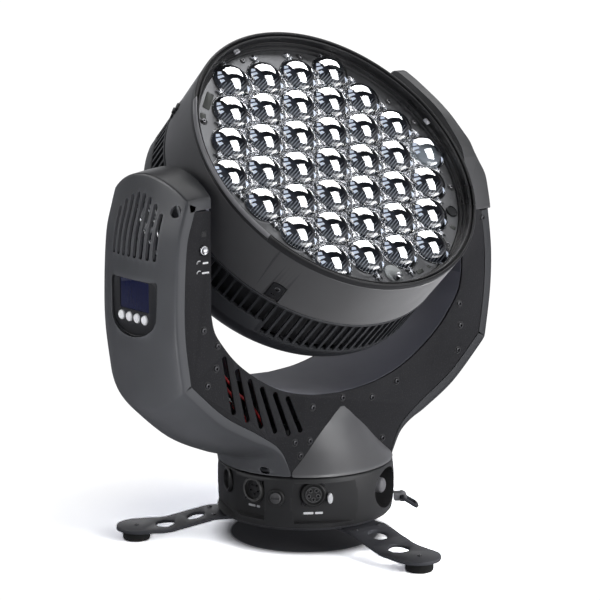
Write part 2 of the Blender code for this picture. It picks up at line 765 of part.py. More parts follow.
def build_neck_covers(yoke):
    for name, side in (("neck_front_cover", -1), ("neck_rear_cover", 1)):
        outer = neck_profile(0)
        inner = neck_profile(-2.4)
        shell = turned(outer + list(reversed(inner)), 48)
        y = sorted((side * (ARM_DEPTH + 0.1 * MM), side * 100 * MM))
        keep_inside(shell, box((-62.8 * MM, y[0], 0), (62.8 * MM, y[1], 112 * MM)))
        finish(shell, name, BLACK, yoke)


def build_yoke_floor(yoke):
    plate = tube(78 * MM, 30 * MM, 53 * MM, 56 * MM, 24)
    side = ARM_DEPTH - SKIN - 0.5 * MM
    keep_inside(plate, box((-90 * MM, -side, 0), (90 * MM, side, 90 * MM)))
    finish(plate, "yoke_floor_plate", ALUMINIUM, yoke)
    bearing = tube(29.4 * MM, 22.7 * MM, 53 * MM, 62 * MM, 24)
    finish(bearing, "pan_bearing", ALUMINIUM, yoke)


def belt_outline(radius_a, radius_b, distance, steps=18):
    """Outline of a loop around two pulleys, the first at 0 and the second at the distance along x."""
    lean = math.acos((radius_a - radius_b) / distance)
    points = []
    for i in range(steps + 1):
        a = lean + (math.tau - 2 * lean) * i / steps
        points.append((radius_a * math.cos(a), radius_a * math.sin(a)))
    for i in range(steps + 1):
        a = -lean + 2 * lean * i / steps
        points.append((distance + radius_b * math.cos(a), radius_b * math.sin(a)))
    return points


def belt(radius_a, radius_b, distance, low, high):
    """Flat loop round two pulleys, clear of both."""
    inner = belt_outline(radius_a + GAP, radius_b + GAP, distance)
    outer = belt_outline(radius_a + GAP + BELT, radius_b + GAP + BELT, distance)
    return cut(prism(outer, low, high), prism(inner, low - 1 * MM, high + 1 * MM))


def stepper(size, length):
    """Square motor body along Z from 0 upwards."""
    return prism(rounded_rectangle(size, size, 4 * MM, steps=2), 0, length)


def motor_pulley(low, high):
    """Toothed wheel on a motor shaft."""
    outline = []
    teeth = 12
    for i in range(teeth * 2):
        a = math.tau * i / (teeth * 2)
        r = MOTOR_PULLEY_RADIUS - (0 if i % 2 else 1.0 * MM)
        outline.append((r * math.cos(a), r * math.sin(a)))
    return prism(outline, low, high)


def build_pan_drive(yoke):
    low, high = PAN_PULLEY_Z
    motor = shift(stepper(42 * MM, 30 * MM), z=high + 3 * MM)
    finish(motor, "pan_motor", STEEL_BLACK, yoke, (PAN_MOTOR_X, 0, 0))
    finish(motor_pulley(low, high), "pan_motor_pulley", ALUMINIUM, yoke, (PAN_MOTOR_X, 0, 0))
    loop = belt(PAN_PULLEY_RADIUS, MOTOR_PULLEY_RADIUS, PAN_MOTOR_X, low + 1 * MM, high - 1 * MM)
    finish(loop, "pan_belt", RUBBER, yoke)


TILT_BELT_X = (172 * MM, 180 * MM)
TILT_PULLEY_RADIUS = 40 * MM
TILT_MOTOR_Z = TILT_Z - 95 * MM


def build_tilt_drive(yoke):
    low, high = TILT_BELT_X
    motor = along_x(shift(stepper(42 * MM, 8 * MM), z=161 * MM))
    finish(motor, "tilt_motor", STEEL_BLACK, yoke, (0, 0, TILT_MOTOR_Z))
    finish(along_x(motor_pulley(low, high)), "tilt_motor_pulley", ALUMINIUM, yoke, (0, 0, TILT_MOTOR_Z))
    drop = TILT_Z - TILT_MOTOR_Z
    loop = along_x(belt(TILT_PULLEY_RADIUS, MOTOR_PULLEY_RADIUS, drop, low + 1 * MM, high - 1 * MM))
    finish(loop, "tilt_belt", RUBBER, yoke, (0, 0, TILT_Z))
    for name, side in (("tilt_bearing_left", -1), ("tilt_bearing_right", 1)):
        ring = along_x(tube(18 * MM, 13.4 * MM, 156.8 * MM, 162 * MM, 20))
        if side < 0:
            moved(ring, Matrix.Scale(-1, 4, (1, 0, 0)))
            ring.data.flip_normals()
        finish(ring, name, ALUMINIUM, yoke, (0, 0, TILT_Z))


# ---------------------------------------------------------------- head


def build_drum(head):
    front = DRUM_FRONT
    seat = front - BEZEL_DEPTH
    bezel = turned(
        [
            (DRUM_RADIUS, seat),
            (DRUM_RADIUS, front - 1.2 * MM),
            (DRUM_RADIUS - 1.4 * MM, front),
            (DRUM_RADIUS - 4.2 * MM, front),
            (DRUM_RADIUS - 6.8 * MM, front - 3 * MM),
            (DRUM_RADIUS - 6.8 * MM, seat),
        ],
        54,
    )
    finish(bezel, "front_bezel", BLACK, head)
    drum = tube(DRUM_RADIUS, DRUM_RADIUS - SKIN, VENT_TOP + GAP, seat - GAP, 54)
    cut(drum, along_x(rod(14 * MM, -170 * MM, 170 * MM)))
    finish(drum, "head_drum", BLACK, head)


def across(grid, outer, inner, z, i, j):
    """Corners of the wall between the outer and the inner skin, from edge i to edge j at a height."""
    return [grid[outer, z, i], grid[outer, z, j], grid[inner, z, j], grid[inner, z, i]]


def build_vent_ring(head, slots=32):
    """Ring with a row of upright slots, left whole around the tilt shafts."""
    outer, inner = DRUM_RADIUS, DRUM_RADIUS - SKIN
    heights = [VENT_BOTTOM, VENT_BOTTOM + 3 * MM, VENT_TOP - 3 * MM, VENT_TOP]
    edges = []
    period = math.tau / slots
    for i in range(slots):
        middle = period * (i + 0.5)
        near_shaft = abs(math.cos(middle)) > math.cos(math.radians(12))
        edges.append((middle - period * 0.28, not near_shaft))
        edges.append((middle + period * 0.28, False))
    bm = bmesh.new()
    grid = {}
    for radius in (outer, inner):
        for z in heights:
            for i, (angle, _) in enumerate(edges):
                grid[radius, z, i] = bm.verts.new((radius * math.cos(angle), radius * math.sin(angle), z))
    count = len(edges)
    for i, (_, open_slot) in enumerate(edges):
        j = (i + 1) % count
        for k in range(3):
            low, high = heights[k], heights[k + 1]
            if open_slot and k == 1:
                for a in (i, j):
                    side = [(outer, low), (outer, high), (inner, high), (inner, low)]
                    bm.faces.new([grid[radius, z, a] for radius, z in side])
                for z in (low, high):
                    bm.faces.new(across(grid, outer, inner, z, i, j))
                continue
            for radius in (outer, inner):
                corners = [(low, i), (low, j), (high, j), (high, i)]
                bm.faces.new([grid[radius, z, a] for z, a in corners])
        for z in (heights[0], heights[-1]):
            bm.faces.new(across(grid, outer, inner, z, i, j))
    ring = new_object(bm)
    cut(ring, along_x(rod(14 * MM, -170 * MM, 170 * MM)))
    finish(ring, "vent_ring", BLACK, head)


# Rear cover turned about the beam axis, in mm: radius, z
REAR_PROFILE = [(150, -31.4), (149.5, -39), (144, -54), (126, -77), (90, -94), (44, -101)]


def build_rear_cover(head):
    outer = [(r * MM, z * MM) for r, z in REAR_PROFILE]
    inner = [(max(r - 2.2, 44) * MM, (z + 2.4 if r < 149 else z) * MM) for r, z in reversed(REAR_PROFILE)]
    shell = turned(outer + inner, 40)
    vents = []
    for i in range(12):
        a = math.tau * (i + 0.5) / 12
        slot = box((92 * MM, -3.2 * MM, -110 * MM), (118 * MM, 3.2 * MM, -70 * MM))
        vents.append(around(slot, math.degrees(a)))
    cut(shell, *vents)
    finish(shell, "rear_cover", BLACK, head)
    guard = tube(43.6 * MM, 40.5 * MM, -101 * MM, -98.5 * MM, 30)
    spokes = [rod(12 * MM, -100.8 * MM, -98.7 * MM, 18)]
    for i in range(3):
        bar = box((-42 * MM, -1.1 * MM, -100.6 * MM), (42 * MM, 1.1 * MM, -98.9 * MM))
        spokes.append(around(bar, 60 * i))
    join(guard, *spokes)
    finish(guard, "fan_guard", STEEL_BLACK, head)


def build_fan(head):
    frame = prism(rounded_rectangle(92 * MM, 92 * MM, 6 * MM, steps=3), -90 * MM, -68 * MM)
    cut(frame, rod(43 * MM, -100 * MM, -60 * MM, 28))
    arms = []
    for i in range(4):
        arm = box((14 * MM, -2 * MM, -72 * MM), (44 * MM, 2 * MM, -68 * MM))
        arms.append(around(arm, 90 * i + 45))
    hub = rod(16 * MM, -72.3 * MM, -67.7 * MM, 18)
    join(frame, hub, *arms)
    finish(frame, "fan_frame", BLACK, head)
    rotor = rod(15 * MM, -88 * MM, -73 * MM, 18)
    blades = []
    for i in range(7):
        blade = box((13 * MM, -1 * MM, -8 * MM), (41 * MM, 1 * MM, 8 * MM))
        moved(blade, Matrix.Rotation(math.radians(42), 4, "X"))
        blades.append(around(shift(blade, z=-81 * MM), 360 / 7 * i))
    join(rotor, *blades)
    finish(rotor, "fan_rotor", BLACK, head)


def lens_centres():
    """Hexagonal field of 4-5-6-7-6-5-4 lenses with its rows along X."""
    centres = []
    for row in range(-3, 4):
        count = 7 - abs(row)
        y = row * LENS_PITCH * math.sin(math.radians(60))
        for i in range(count):
            centres.append(((i - (count - 1) / 2) * LENS_PITCH, y))
    return centres


ZOOM_SCREW_Y = -133 * MM


def at_each_lens(build):
    """One object holding a separate solid at every lens place."""
    field = bmesh.new()
    for x, y in lens_centres():
        solid = shift(build(), x, y)
        field.from_mesh(solid.data)
        bpy.data.objects.remove(solid, do_unlink=True)
    return new_object(field)


def lens_dome():
    low = LENS_PLATE_Z
    edge = LENS_RADIUS - 1 * MM
    foot = [(0, low + 0.5 * MM), (edge, low + 0.5 * MM), (edge, low + 4 * MM)]
    return around(turned(foot + [(0.7 * LENS_RADIUS, low + 10 * MM), (0, low + 13 * MM)], 8), 13)


def lens_cell():
    """Hexagonal cutter a little narrower than the lens pitch."""
    corner = (LENS_PITCH / 2 - GAP) / math.cos(math.radians(30))
    return around(rod(corner, LENS_PLATE_Z - 1 * MM, LENS_PLATE_Z + 6 * MM, 6), 30)


def build_lenses(head):
    low = LENS_PLATE_Z
    web = rod(138 * MM, low, low + 1.6 * MM, 40)
    join(web, at_each_lens(lens_dome))
    cut(web, shift(rod(8 * MM, low - 5 * MM, low + 20 * MM, 16), y=ZOOM_SCREW_Y))
    finish(web, "lens_array", CLEAR, head)
    plate = rod(141 * MM, low + 2 * MM, low + 3.2 * MM, 44)
    cut(plate, at_each_lens(lens_cell))
    cut(plate, shift(rod(3.6 * MM, low - 1 * MM, low + 6 * MM, 12), y=ZOOM_SCREW_Y))
    finish(plate, "lens_plate", SILVER, head)


def build_light_engine(head):
    board = rod(119 * MM, 18 * MM, 19.6 * MM, 40)
    finish(board, "led_board", WHITE, head)
    sink = rod(118 * MM, 8 * MM, 17.6 * MM, 36)
    fins = []
    for i in range(9):
        x = (i - 4) * 23.4 * MM
        half = math.sqrt((112 * MM) ** 2 - x * x)
        fins.append(box((x - 1.5 * MM, -half, -52 * MM), (x + 1.5 * MM, half, 10 * MM)))
    join(sink, *fins)
    finish(sink, "heat_sink", ALUMINIUM, head)
    chassis = tube(141 * MM, 126 * MM, -16 * MM, 16 * MM, 28)
    cut(
        chassis,
        along_x(rod(13.4 * MM, -160 * MM, 160 * MM, 20)),
        shift(rod(4.5 * MM, -30 * MM, 30 * MM, 12), y=ZOOM_SCREW_Y),
    )
    finish(chassis, "head_chassis", ALUMINIUM, head)


def build_zoom_drive(head):
    motor = rod(11 * MM, -44 * MM, -20 * MM, 20)
    finish(motor, "zoom_motor", STEEL_BLACK, head, (0, ZOOM_SCREW_Y + 4 * MM, 0))
    screw = rod(3 * MM, -19 * MM, 60 * MM, 12)
    finish(screw, "zoom_screw", ALUMINIUM, head, (0, ZOOM_SCREW_Y, 0))


def build_tilt_shafts(head):
    for name, side in (("tilt_shaft_left", -1), ("tilt_shaft_right", 1)):
        shaft = along_x(tube(13 * MM, 8 * MM, 127 * MM, 184 * MM, 20))
        if side < 0:
            moved(shaft, Matrix.Scale(-1, 4, (1, 0, 0)))
            shaft.data.flip_normals()
        finish(shaft, name, ALUMINIUM, head)
    low, high = TILT_BELT_X
    pulley = along_x(tube(TILT_PULLEY_RADIUS, 13.4 * MM, low, high, 28))
    finish(pulley, "tilt_ring_pulley", ALUMINIUM, head)


def build_head(head):
    build_drum(head)
    build_vent_ring(head)
    build_rear_cover(head)
    build_fan(head)
    build_lenses(head)
    build_light_engine(head)
    build_zoom_drive(head)
    build_tilt_shafts(head)


def build_yoke(yoke):
    build_left_arm(yoke)
    build_right_arm(yoke)
    build_right_shoulder(yoke)
    build_yoke_frame(yoke)
    build_plates(yoke)
    build_neck_covers(yoke)
    build_yoke_floor(yoke)
    build_pan_drive(yoke)
    build_tilt_drive(yoke)


def build_base():
    build_base_housing()
    build_base_bottom_plate()
    for side, degrees in LEG_ANGLES.items():
        build_leg(side, degrees)
    build_sockets()
    build_base_controls()
    build_safety_ring()
    build_pan_drive_base()


def main():
    for obj in list(bpy.data.objects):
        bpy.data.objects.remove(obj, do_unlink=True)
    pan_axis = empty("pan_axis", (0, 0, 0))
    tilt_axis = empty("tilt_axis", (0, 0, TILT_Z), (HEAD_LEAN, 0, 0), pan_axis)
    build_base()
    build_yoke(pan_axis)
    build_head(tilt_axis)


main()
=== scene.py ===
"""Looks of the moving head light: fine shells, lenses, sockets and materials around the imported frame."""
import json
import math

import bmesh
import bpy
from mathutils import Matrix, Vector, noise

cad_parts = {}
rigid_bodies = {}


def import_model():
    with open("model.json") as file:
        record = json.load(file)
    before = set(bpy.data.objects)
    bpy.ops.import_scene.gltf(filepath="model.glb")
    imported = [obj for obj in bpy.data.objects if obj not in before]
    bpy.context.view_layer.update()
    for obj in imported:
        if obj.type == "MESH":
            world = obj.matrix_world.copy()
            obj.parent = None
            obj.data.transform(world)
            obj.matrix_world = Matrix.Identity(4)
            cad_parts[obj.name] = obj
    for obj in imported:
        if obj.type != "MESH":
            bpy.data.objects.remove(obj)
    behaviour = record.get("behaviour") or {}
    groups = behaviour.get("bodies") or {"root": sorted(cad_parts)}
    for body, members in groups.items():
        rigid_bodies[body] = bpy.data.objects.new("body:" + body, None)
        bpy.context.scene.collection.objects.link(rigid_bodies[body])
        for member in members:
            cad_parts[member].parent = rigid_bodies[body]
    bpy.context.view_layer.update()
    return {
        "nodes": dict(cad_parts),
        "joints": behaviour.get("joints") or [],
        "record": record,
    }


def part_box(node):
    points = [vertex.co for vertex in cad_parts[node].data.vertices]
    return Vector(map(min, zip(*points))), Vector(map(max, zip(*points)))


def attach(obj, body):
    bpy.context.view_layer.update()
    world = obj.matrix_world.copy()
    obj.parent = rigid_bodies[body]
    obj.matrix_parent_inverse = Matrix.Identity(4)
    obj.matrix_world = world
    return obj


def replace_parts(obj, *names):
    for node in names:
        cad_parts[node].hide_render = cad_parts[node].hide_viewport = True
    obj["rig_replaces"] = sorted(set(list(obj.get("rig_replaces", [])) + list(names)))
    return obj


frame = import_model()
MM = 0.001

# Places taken from the frame
tilt_joint = next(j for j in frame["joints"] if j["name"] == "tilt")
zoom_joint = next(j for j in frame["joints"] if j["name"] == "zoom")
TILT_Z = tilt_joint["pos_m"][2]
BEAM = Vector(zoom_joint["axis"])
HEAD_LEAN = math.atan2(-BEAM.y, BEAM.z)
HEAD = Matrix.Translation((0, 0, TILT_Z)) @ Matrix.Rotation(HEAD_LEAN, 4, "X")
FLOOR_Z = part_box("foot_front")[0].z
DRUM_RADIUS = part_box("head_drum")[1].x
ARM_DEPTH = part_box("left_arm_cover")[1].y
SLOT_OF = {s["node"]: s["material_slot"] for s in frame["record"]["subparts"]}
BODY_OF = {node: body for body, nodes in frame["record"]["behaviour"]["bodies"].items() for node in nodes}


# ---------------------------------------------------------------- meshes


def catmull(points, steps):
    """Smooth line through points of any dimension, with the given steps between two of them."""
    out = []
    for i in range(len(points) - 1):
        p0 = points[max(i - 1, 0)]
        p1, p2 = points[i], points[i + 1]
        p3 = points[min(i + 2, len(points) - 1)]
        for k in range(steps):
            t = k / steps
            row = []
            for a, b, c, d in zip(p0, p1, p2, p3):
                row.append(0.5 * (2 * b + (c - a) * t + (2 * a - 5 * b + 4 * c - d) * t * t + (3 * b - a - 3 * c + d) * t**3))
            out.append(tuple(row))
    out.append(tuple(points[-1]))
    return out


def skin(bm, rings, loop=False, cyclic=True):
    """Quads between successive rings of vertices; a ring of one vertex is a pole."""
    pairs = list(zip(rings, rings[1:]))
    if loop:
        pairs.append((rings[-1], rings[0]))
    for low, high in pairs:
        count = max(len(low), len(high))
        for i in range(count if cyclic else count - 1):
            j = (i + 1) % count
            corners = [low[i % len(low)], low[j % len(low)], high[j % len(high)], high[i % len(high)]]
            corners = list(dict.fromkeys(corners))
            if len(corners) > 2:
                bm.faces.new(corners)


def lathe(bm, profile, segments=128, matrix=None, closed=True):
    """Turn a (radius, height) outline about Z; closed joins its last point to its first."""
    rings = []
    for radius, z in profile:
        if radius < 1e-9:
            rings.append([bm.verts.new((0, 0, z))])
            continue
        turn = [math.tau * i / segments for i in range(segments)]
        rings.append([bm.verts.new((radius * math.cos(a), radius * math.sin(a), z)) for a in turn])
    skin(bm, rings, loop=closed)
    if matrix is not None:
        bmesh.ops.transform(bm, matrix=matrix, verts=[v for ring in rings for v in ring])
    return rings


def plate(bm, outline, low, high, axis="Z"):
    """Outline extruded along an axis: (x, y) along Z, (x, z) along Y, or (y, z) along X."""
    place = {"Z": lambda a, b, c: (a, b, c), "Y": lambda a, b, c: (a, c, b), "X": lambda a, b, c: (c, a, b)}[axis]
    rings = [[bm.verts.new(place(a, b, c)) for a, b in outline] for c in (low, high)]
    skin(bm, rings)
    for ring in rings:
        bm.faces.new(ring)
    return [v for ring in rings for v in ring]


def oval(half_width, half_height, centre=(0, 0), steps=32, power=2.0):
    """Superellipse outline: power 2 is an ellipse, higher is squarer."""
    points = []
    for i in range(steps):
        a = math.tau * i / steps
        c, s = math.cos(a), math.sin(a)
        x = half_width * math.copysign(abs(c) ** (2 / power), c)
        y = half_height * math.copysign(abs(s) ** (2 / power), s)
        points.append((centre[0] + x, centre[1] + y))
    return points


def rounded(width, height, radius, centre=(0, 0), steps=6):
    points = []
    for sx, sy, start in ((1, 1, 0), (-1, 1, 90), (-1, -1, 180), (1, -1, 270)):
        cx = centre[0] + sx * (width / 2 - radius)
        cy = centre[1] + sy * (height / 2 - radius)
        for i in range(steps + 1):
            a = math.radians(start + 90 * i / steps)
            points.append((cx + radius * math.cos(a), cy + radius * math.sin(a)))
    return points


def to_object(bm, name, smooth=35):
    bmesh.ops.recalc_face_normals(bm, faces=bm.faces)
    mesh = bpy.data.meshes.new(name)
    bm.to_mesh(mesh)
    bm.free()
    obj = bpy.data.objects.new(name, mesh)
    bpy.context.scene.collection.objects.link(obj)
    mesh.shade_smooth()
    mesh.set_sharp_from_angle(angle=math.radians(smooth))
    return obj


def bake_modifiers(obj, smooth=35):
    """Replace the mesh by what its modifiers make of it."""
    bpy.context.view_layer.update()
    evaluated = obj.evaluated_get(bpy.context.evaluated_depsgraph_get())
    mesh = bpy.data.meshes.new_from_object(evaluated)
    obj.modifiers.clear()
    obj.data = mesh
    mesh.shade_smooth()
    mesh.set_sharp_from_angle(angle=math.radians(smooth))
    return obj


def bevel(obj, width, segments=3, angle=30):
    modifier = obj.modifiers.new("bevel", "BEVEL")
    modifier.width = width
    modifier.segments = segments
    modifier.limit_method = "ANGLE"
    modifier.angle_limit = math.radians(angle)
    modifier.harden_normals = False
    return bake_modifiers(obj, 50)


def boolean(obj, tools, operation="DIFFERENCE"):
    for tool in tools:
        modifier = obj.modifiers.new("boolean", "BOOLEAN")
        modifier.operation = operation
        modifier.solver = "EXACT"
        modifier.object = tool
    bake_modifiers(obj)
    for tool in tools:
        bpy.data.objects.remove(tool, do_unlink=True)
    return obj


def tool(build):
    """Temporary cutter object built by a function that fills a bmesh."""
    bm = bmesh.new()
    build(bm)
    return to_object(bm, "cutter")


def show(obj, material, body, replaces=(), matrix=None):
    """Give a finished piece its material, let it ride on its body and stand for CAD nodes."""
    obj.data.materials.clear()
    for item in material if isinstance(material, (list, tuple)) else [material]:
        obj.data.materials.append(item)
    if matrix is not None:
        obj.data.transform(matrix)
    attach(obj, body)
    if replaces:
        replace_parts(obj, *replaces)
    return obj


def refine(node, material, width=0.4 * MM, segments=2, name=None, smooth=40):
    """Finer copy of a CAD node: merged, cleaned and with rounded edges."""
    source = frame["nodes"][node]
    bm = bmesh.new()
    bm.from_mesh(source.data)
    bmesh.ops.remove_doubles(bm, verts=bm.verts, dist=2e-6)
    bmesh.ops.dissolve_limit(bm, angle_limit=math.radians(1.5), verts=bm.verts, edges=bm.edges)
    obj = to_object(bm, name or node + "_fine", smooth)
    if width:
        bevel(obj, width, segments)
    return show(obj, material, BODY_OF[node], (node,), None)


def torus(bm, radius, thickness, matrix, turn=math.tau, start=0.0, steps=64, sides=10):
    """Ring, or an arc of one, of round section about Z."""
    whole = turn > 6.28
    rings = []
    for i in range(steps if whole else steps + 1):
        a = start + turn * i / steps
        ring = []
        for k in range(sides):
            b = math.tau * k / sides
            r = radius + thickness * math.cos(b)
            ring.append(bm.verts.new(matrix @ Vector((r * math.cos(a), r * math.sin(a), thickness * math.sin(b)))))
        rings.append(ring)
    skin(bm, rings, loop=whole)
    if not whole:
        bm.faces.new(rings[0])
        bm.faces.new(rings[-1])


def tube(bm, points, radius, sides=10):
    """Round wire along a smooth line of points."""
    line = [Vector(p) for p in catmull(points, 8)]
    rings = []
    for i, p in enumerate(line):
        along = (line[min(i + 1, len(line) - 1)] - line[max(i - 1, 0)]).normalized()
        u = along.orthogonal().normalized() if not rings else (u - along * u.dot(along)).normalized()
        v = along.cross(u)
        ring = []
        for k in range(sides):
            a = math.tau * k / sides
            ring.append(bm.verts.new(p + radius * (u * math.cos(a) + v * math.sin(a))))
        rings.append(ring)
    skin(bm, rings)
    bm.faces.new(rings[0])
    bm.faces.new(rings[-1])


def socket_screw(bm, radius, height, matrix):
    """Button head with a hexagon socket, standing up from z = 0."""
    steps = 24
    rings = []
    for r, z in ((1.0, -0.6), (1.0, 0.35), (0.94, 0.7), (0.80, 0.94), (0.62, 1.0)):
        rings.append([(radius * r * math.cos(math.tau * i / steps), radius * r * math.sin(math.tau * i / steps), height * z) for i in range(steps)])
    for r, z in ((0.50, 1.0), (0.47, 0.9), (0.45, 0.1)):
        ring = []
        for i in range(steps):
            a = math.tau * i / steps
            reach = math.cos(math.radians(30)) / math.cos((a % math.radians(60)) - math.radians(30))
            ring.append((radius * r * reach * math.cos(a), radius * r * reach * math.sin(a), height * z))
        rings.append(ring)
    made = [[bm.verts.new(matrix @ Vector(p)) for p in ring] for ring in rings]
    skin(bm, made)
    bm.faces.new(made[0])
    bm.faces.new(made[-1])


# ---------------------------------------------------------------- materials


class Nodes:
    """Small helper that adds and links shader nodes."""

    def __init__(self, name):
        self.material = bpy.data.materials.new(name)
        self.material.use_nodes = True
        self.tree = self.material.node_tree
        self.shader = self.tree.nodes["Principled BSDF"]
        self.output = self.tree.nodes["Material Output"]

    def add(self, kind, **inputs):
        node = self.tree.nodes.new(kind)
        for key, value in inputs.items():
            node.inputs[key.replace("_", " ")].default_value = value
        return node

    def link(self, source, target):
        self.tree.links.new(source, target)

    def coordinates(self):
        return self.add("ShaderNodeTexCoord").outputs["Object"]

    def noise(self, scale, detail=3.0, roughness=0.5):
        node = self.add("ShaderNodeTexNoise", Scale=scale, Detail=detail, Roughness=roughness)
        self.link(self.coordinates(), node.inputs["Vector"])
        return node.outputs["Fac"]

    def span(self, value, low, high, from_low=0.3, from_high=0.7):
        node = self.add("ShaderNodeMapRange")
        self.link(value, node.inputs["Value"])
        node.inputs["From Min"].default_value = from_low
        node.inputs["From Max"].default_value = from_high
        node.inputs["To Min"].default_value = low
        node.inputs["To Max"].default_value = high
        return node.outputs["Result"]

    def mix(self, factor, low, high):
        node = self.tree.nodes.new("ShaderNodeMix")
        node.data_type = "RGBA"
        sockets = node.inputs
        if isinstance(factor, float):
            sockets["Factor"].default_value = factor
        else:
            self.link(factor, sockets["Factor"])
        for socket, value in ((sockets[6], low), (sockets[7], high)):
            if isinstance(value, tuple):
                socket.default_value = (*value, 1)
            else:
                self.link(value, socket)
        return node.outputs[2]

    def bump(self, height, strength, distance, previous=None):
        node = self.add("ShaderNodeBump", Strength=strength, Distance=distance)
        self.link(height, node.inputs["Height"])
        if previous is not None:
            self.link(previous, node.inputs["Normal"])
        return node.outputs["Normal"]


def coated(name, colour, roughness, grain=900.0, bump=0.12, metallic=0.0, spread=0.25, edge_highlight=0.35, speck=0.0, sheen=0.5):
    """Moulded or painted surface: fine grain, cloudy tone, uneven gloss and painted highlights on sharp edges."""
    n = Nodes(name)
    cloud = n.noise(9.0, 4.0)
    fine = n.noise(grain, 2.0, 0.6)
    dark = tuple(c * (1 - spread) for c in colour)
    light = tuple(min(1, c * (1 + spread)) for c in colour)
    tone = n.mix(n.span(cloud, 0.0, 1.0), dark, light)
    if speck:
        tone = n.mix(n.span(fine, 0.0, speck, 0.56, 0.66), tone, tuple(min(1, c * 3.2) for c in colour))
    geometry = n.add("ShaderNodeNewGeometry")
    # Sharp edges made lighter by pointiness: painted edge highlights
    edge = n.span(geometry.outputs["Pointiness"], 0.0, edge_highlight, 0.515, 0.56)
    tone = n.mix(edge, tone, tuple(min(1, c * 2.2 + 0.02) for c in colour))
    n.link(tone, n.shader.inputs["Base Color"])
    gloss = n.noise(26.0, 5.0)
    n.link(n.span(gloss, roughness - 0.05, roughness + 0.07), n.shader.inputs["Roughness"])
    n.shader.inputs["Metallic"].default_value = metallic
    n.shader.inputs["Specular IOR Level"].default_value = sheen
    normal = n.bump(fine, bump, 0.0003)
    n.link(normal, n.shader.inputs["Normal"])
    return n.material


def metal(name, colour, roughness, brushed=0.0, scale=300.0):
    """Bare metal with fine brushing or casting grain."""
    n = Nodes(name)
    grain = n.noise(scale, 4.0, 0.7)
    cloud = n.noise(20.0, 3.0)
    tone = n.mix(n.span(cloud, 0.0, 1.0), tuple(c * 0.82 for c in colour), colour)
    n.link(tone, n.shader.inputs["Base Color"])
    n.link(n.span(grain, roughness - 0.06, roughness + 0.1), n.shader.inputs["Roughness"])
    n.shader.inputs["Metallic"].default_value = 1.0
    n.link(n.bump(grain, 0.05 + brushed, 0.0002), n.shader.inputs["Normal"])
    return n.material


def lens_glass():
    """Clear dome: mirrors the lamps at its surface and lets the cup behind it show."""
    n = Nodes("lens_clear")
    n.tree.nodes.remove(n.shader)
    clear = n.add("ShaderNodeBsdfTransparent", Color=(0.88, 0.92, 0.98, 1.0))
    gloss = n.add("ShaderNodeBsdfGlossy", Color=(1.0, 1.0, 1.0, 1.0), Roughness=0.02)
    fresnel = n.add("ShaderNodeFresnel", IOR=1.7)
    strength = n.span(fresnel.outputs[0], 0.0, 1.0, 0.0, 0.5)
    n.link(n.span(n.noise(60.0), 0.01, 0.03), gloss.inputs["Roughness"])
    blend = n.add("ShaderNodeMixShader")
    n.link(strength, blend.inputs[0])
    n.link(clear.outputs[0], blend.inputs[1])
    n.link(gloss.outputs[0], blend.inputs[2])
    n.link(blend.outputs[0], n.output.inputs["Surface"])
    return n.material


def screen_glass():
    """Dark blue display behind glossy glass, with a faint cell grid."""
    n = Nodes("screen_blue")
    grid = n.add("ShaderNodeTexBrick", Scale=420.0)
    grid.inputs["Color1"].default_value = (0.005, 0.008, 0.05, 1)
    grid.inputs["Color2"].default_value = (0.007, 0.011, 0.065, 1)
    grid.inputs["Mortar"].default_value = (0.004, 0.006, 0.03, 1)
    n.link(n.coordinates(), grid.inputs["Vector"])
    n.link(grid.outputs["Color"], n.shader.inputs["Base Color"])
    n.link(grid.outputs["Color"], n.shader.inputs["Emission Color"])
    n.shader.inputs["Emission Strength"].default_value = 0.25
    n.link(n.span(n.noise(40.0), 0.05, 0.14), n.shader.inputs["Roughness"])
    return n.material


SHOULDER = coated("shoulder_satin", (0.060, 0.060, 0.063), 0.42, bump=0.10, sheen=0.4)
CHARCOAL = coated("charcoal_satin", (0.030, 0.031, 0.034), 0.36, bump=0.10, sheen=0.28)
DRUM = coated("drum_satin", (0.074, 0.074, 0.076), 0.40, bump=0.12)
TEXTURED = coated("textured_charcoal", (0.017, 0.017, 0.019), 0.6, grain=650.0, bump=0.55, speck=0.35, sheen=0.15)
POWDER = coated("black_powder_coat", (0.022, 0.023, 0.027), 0.42, grain=500.0, bump=0.35, speck=0.15)
# Dark inserts, and the ring that paints the shade in the groove under the yoke
DARK = coated("dark_insert_and_painted_shade", (0.010, 0.010, 0.011), 0.5)
RUBBER = coated("foot_rubber", (0.012, 0.012, 0.012), 0.85, grain=260.0, bump=0.5, edge_highlight=0.1)
WHITE = coated("white_button", (0.90, 0.91, 0.93), 0.3, spread=0.04, edge_highlight=0.0, bump=0.04)
GREY = coated("grey_insert", (0.16, 0.16, 0.17), 0.42)
INK = coated("print_pale", (0.92, 0.92, 0.94), 0.6, spread=0.06, edge_highlight=0.0)
RED_WIRE = coated("red_wire", (0.30, 0.012, 0.015), 0.45, spread=0.1)
SILVER = metal("silver_plate", (0.062, 0.063, 0.066), 0.36)
BEZEL = coated("bezel_black", (0.010, 0.010, 0.011), 0.30, bump=0.05, edge_highlight=0.9, sheen=0.3)
BRIGHT = metal("bright_steel", (0.72, 0.73, 0.75), 0.2)
SCREW = metal("screw_black_zinc", (0.10, 0.10, 0.105), 0.3)
CAST = metal("cast_aluminium", (0.55, 0.56, 0.58), 0.42, brushed=0.1)
GLASS = lens_glass()
CUP = coated("cup_wall", (0.05, 0.055, 0.07), 0.42, grain=200.0, bump=0.02, metallic=0.6, edge_highlight=0.0)
CUP_FLOOR = coated("cup_floor", (0.012, 0.014, 0.020), 0.5, grain=200.0, bump=0.02, edge_highlight=0.0)
FIN = coated("cup_fin", (0.42, 0.43, 0.45), 0.35, grain=400.0, bump=0.02, spread=0.1, edge_highlight=0.0)
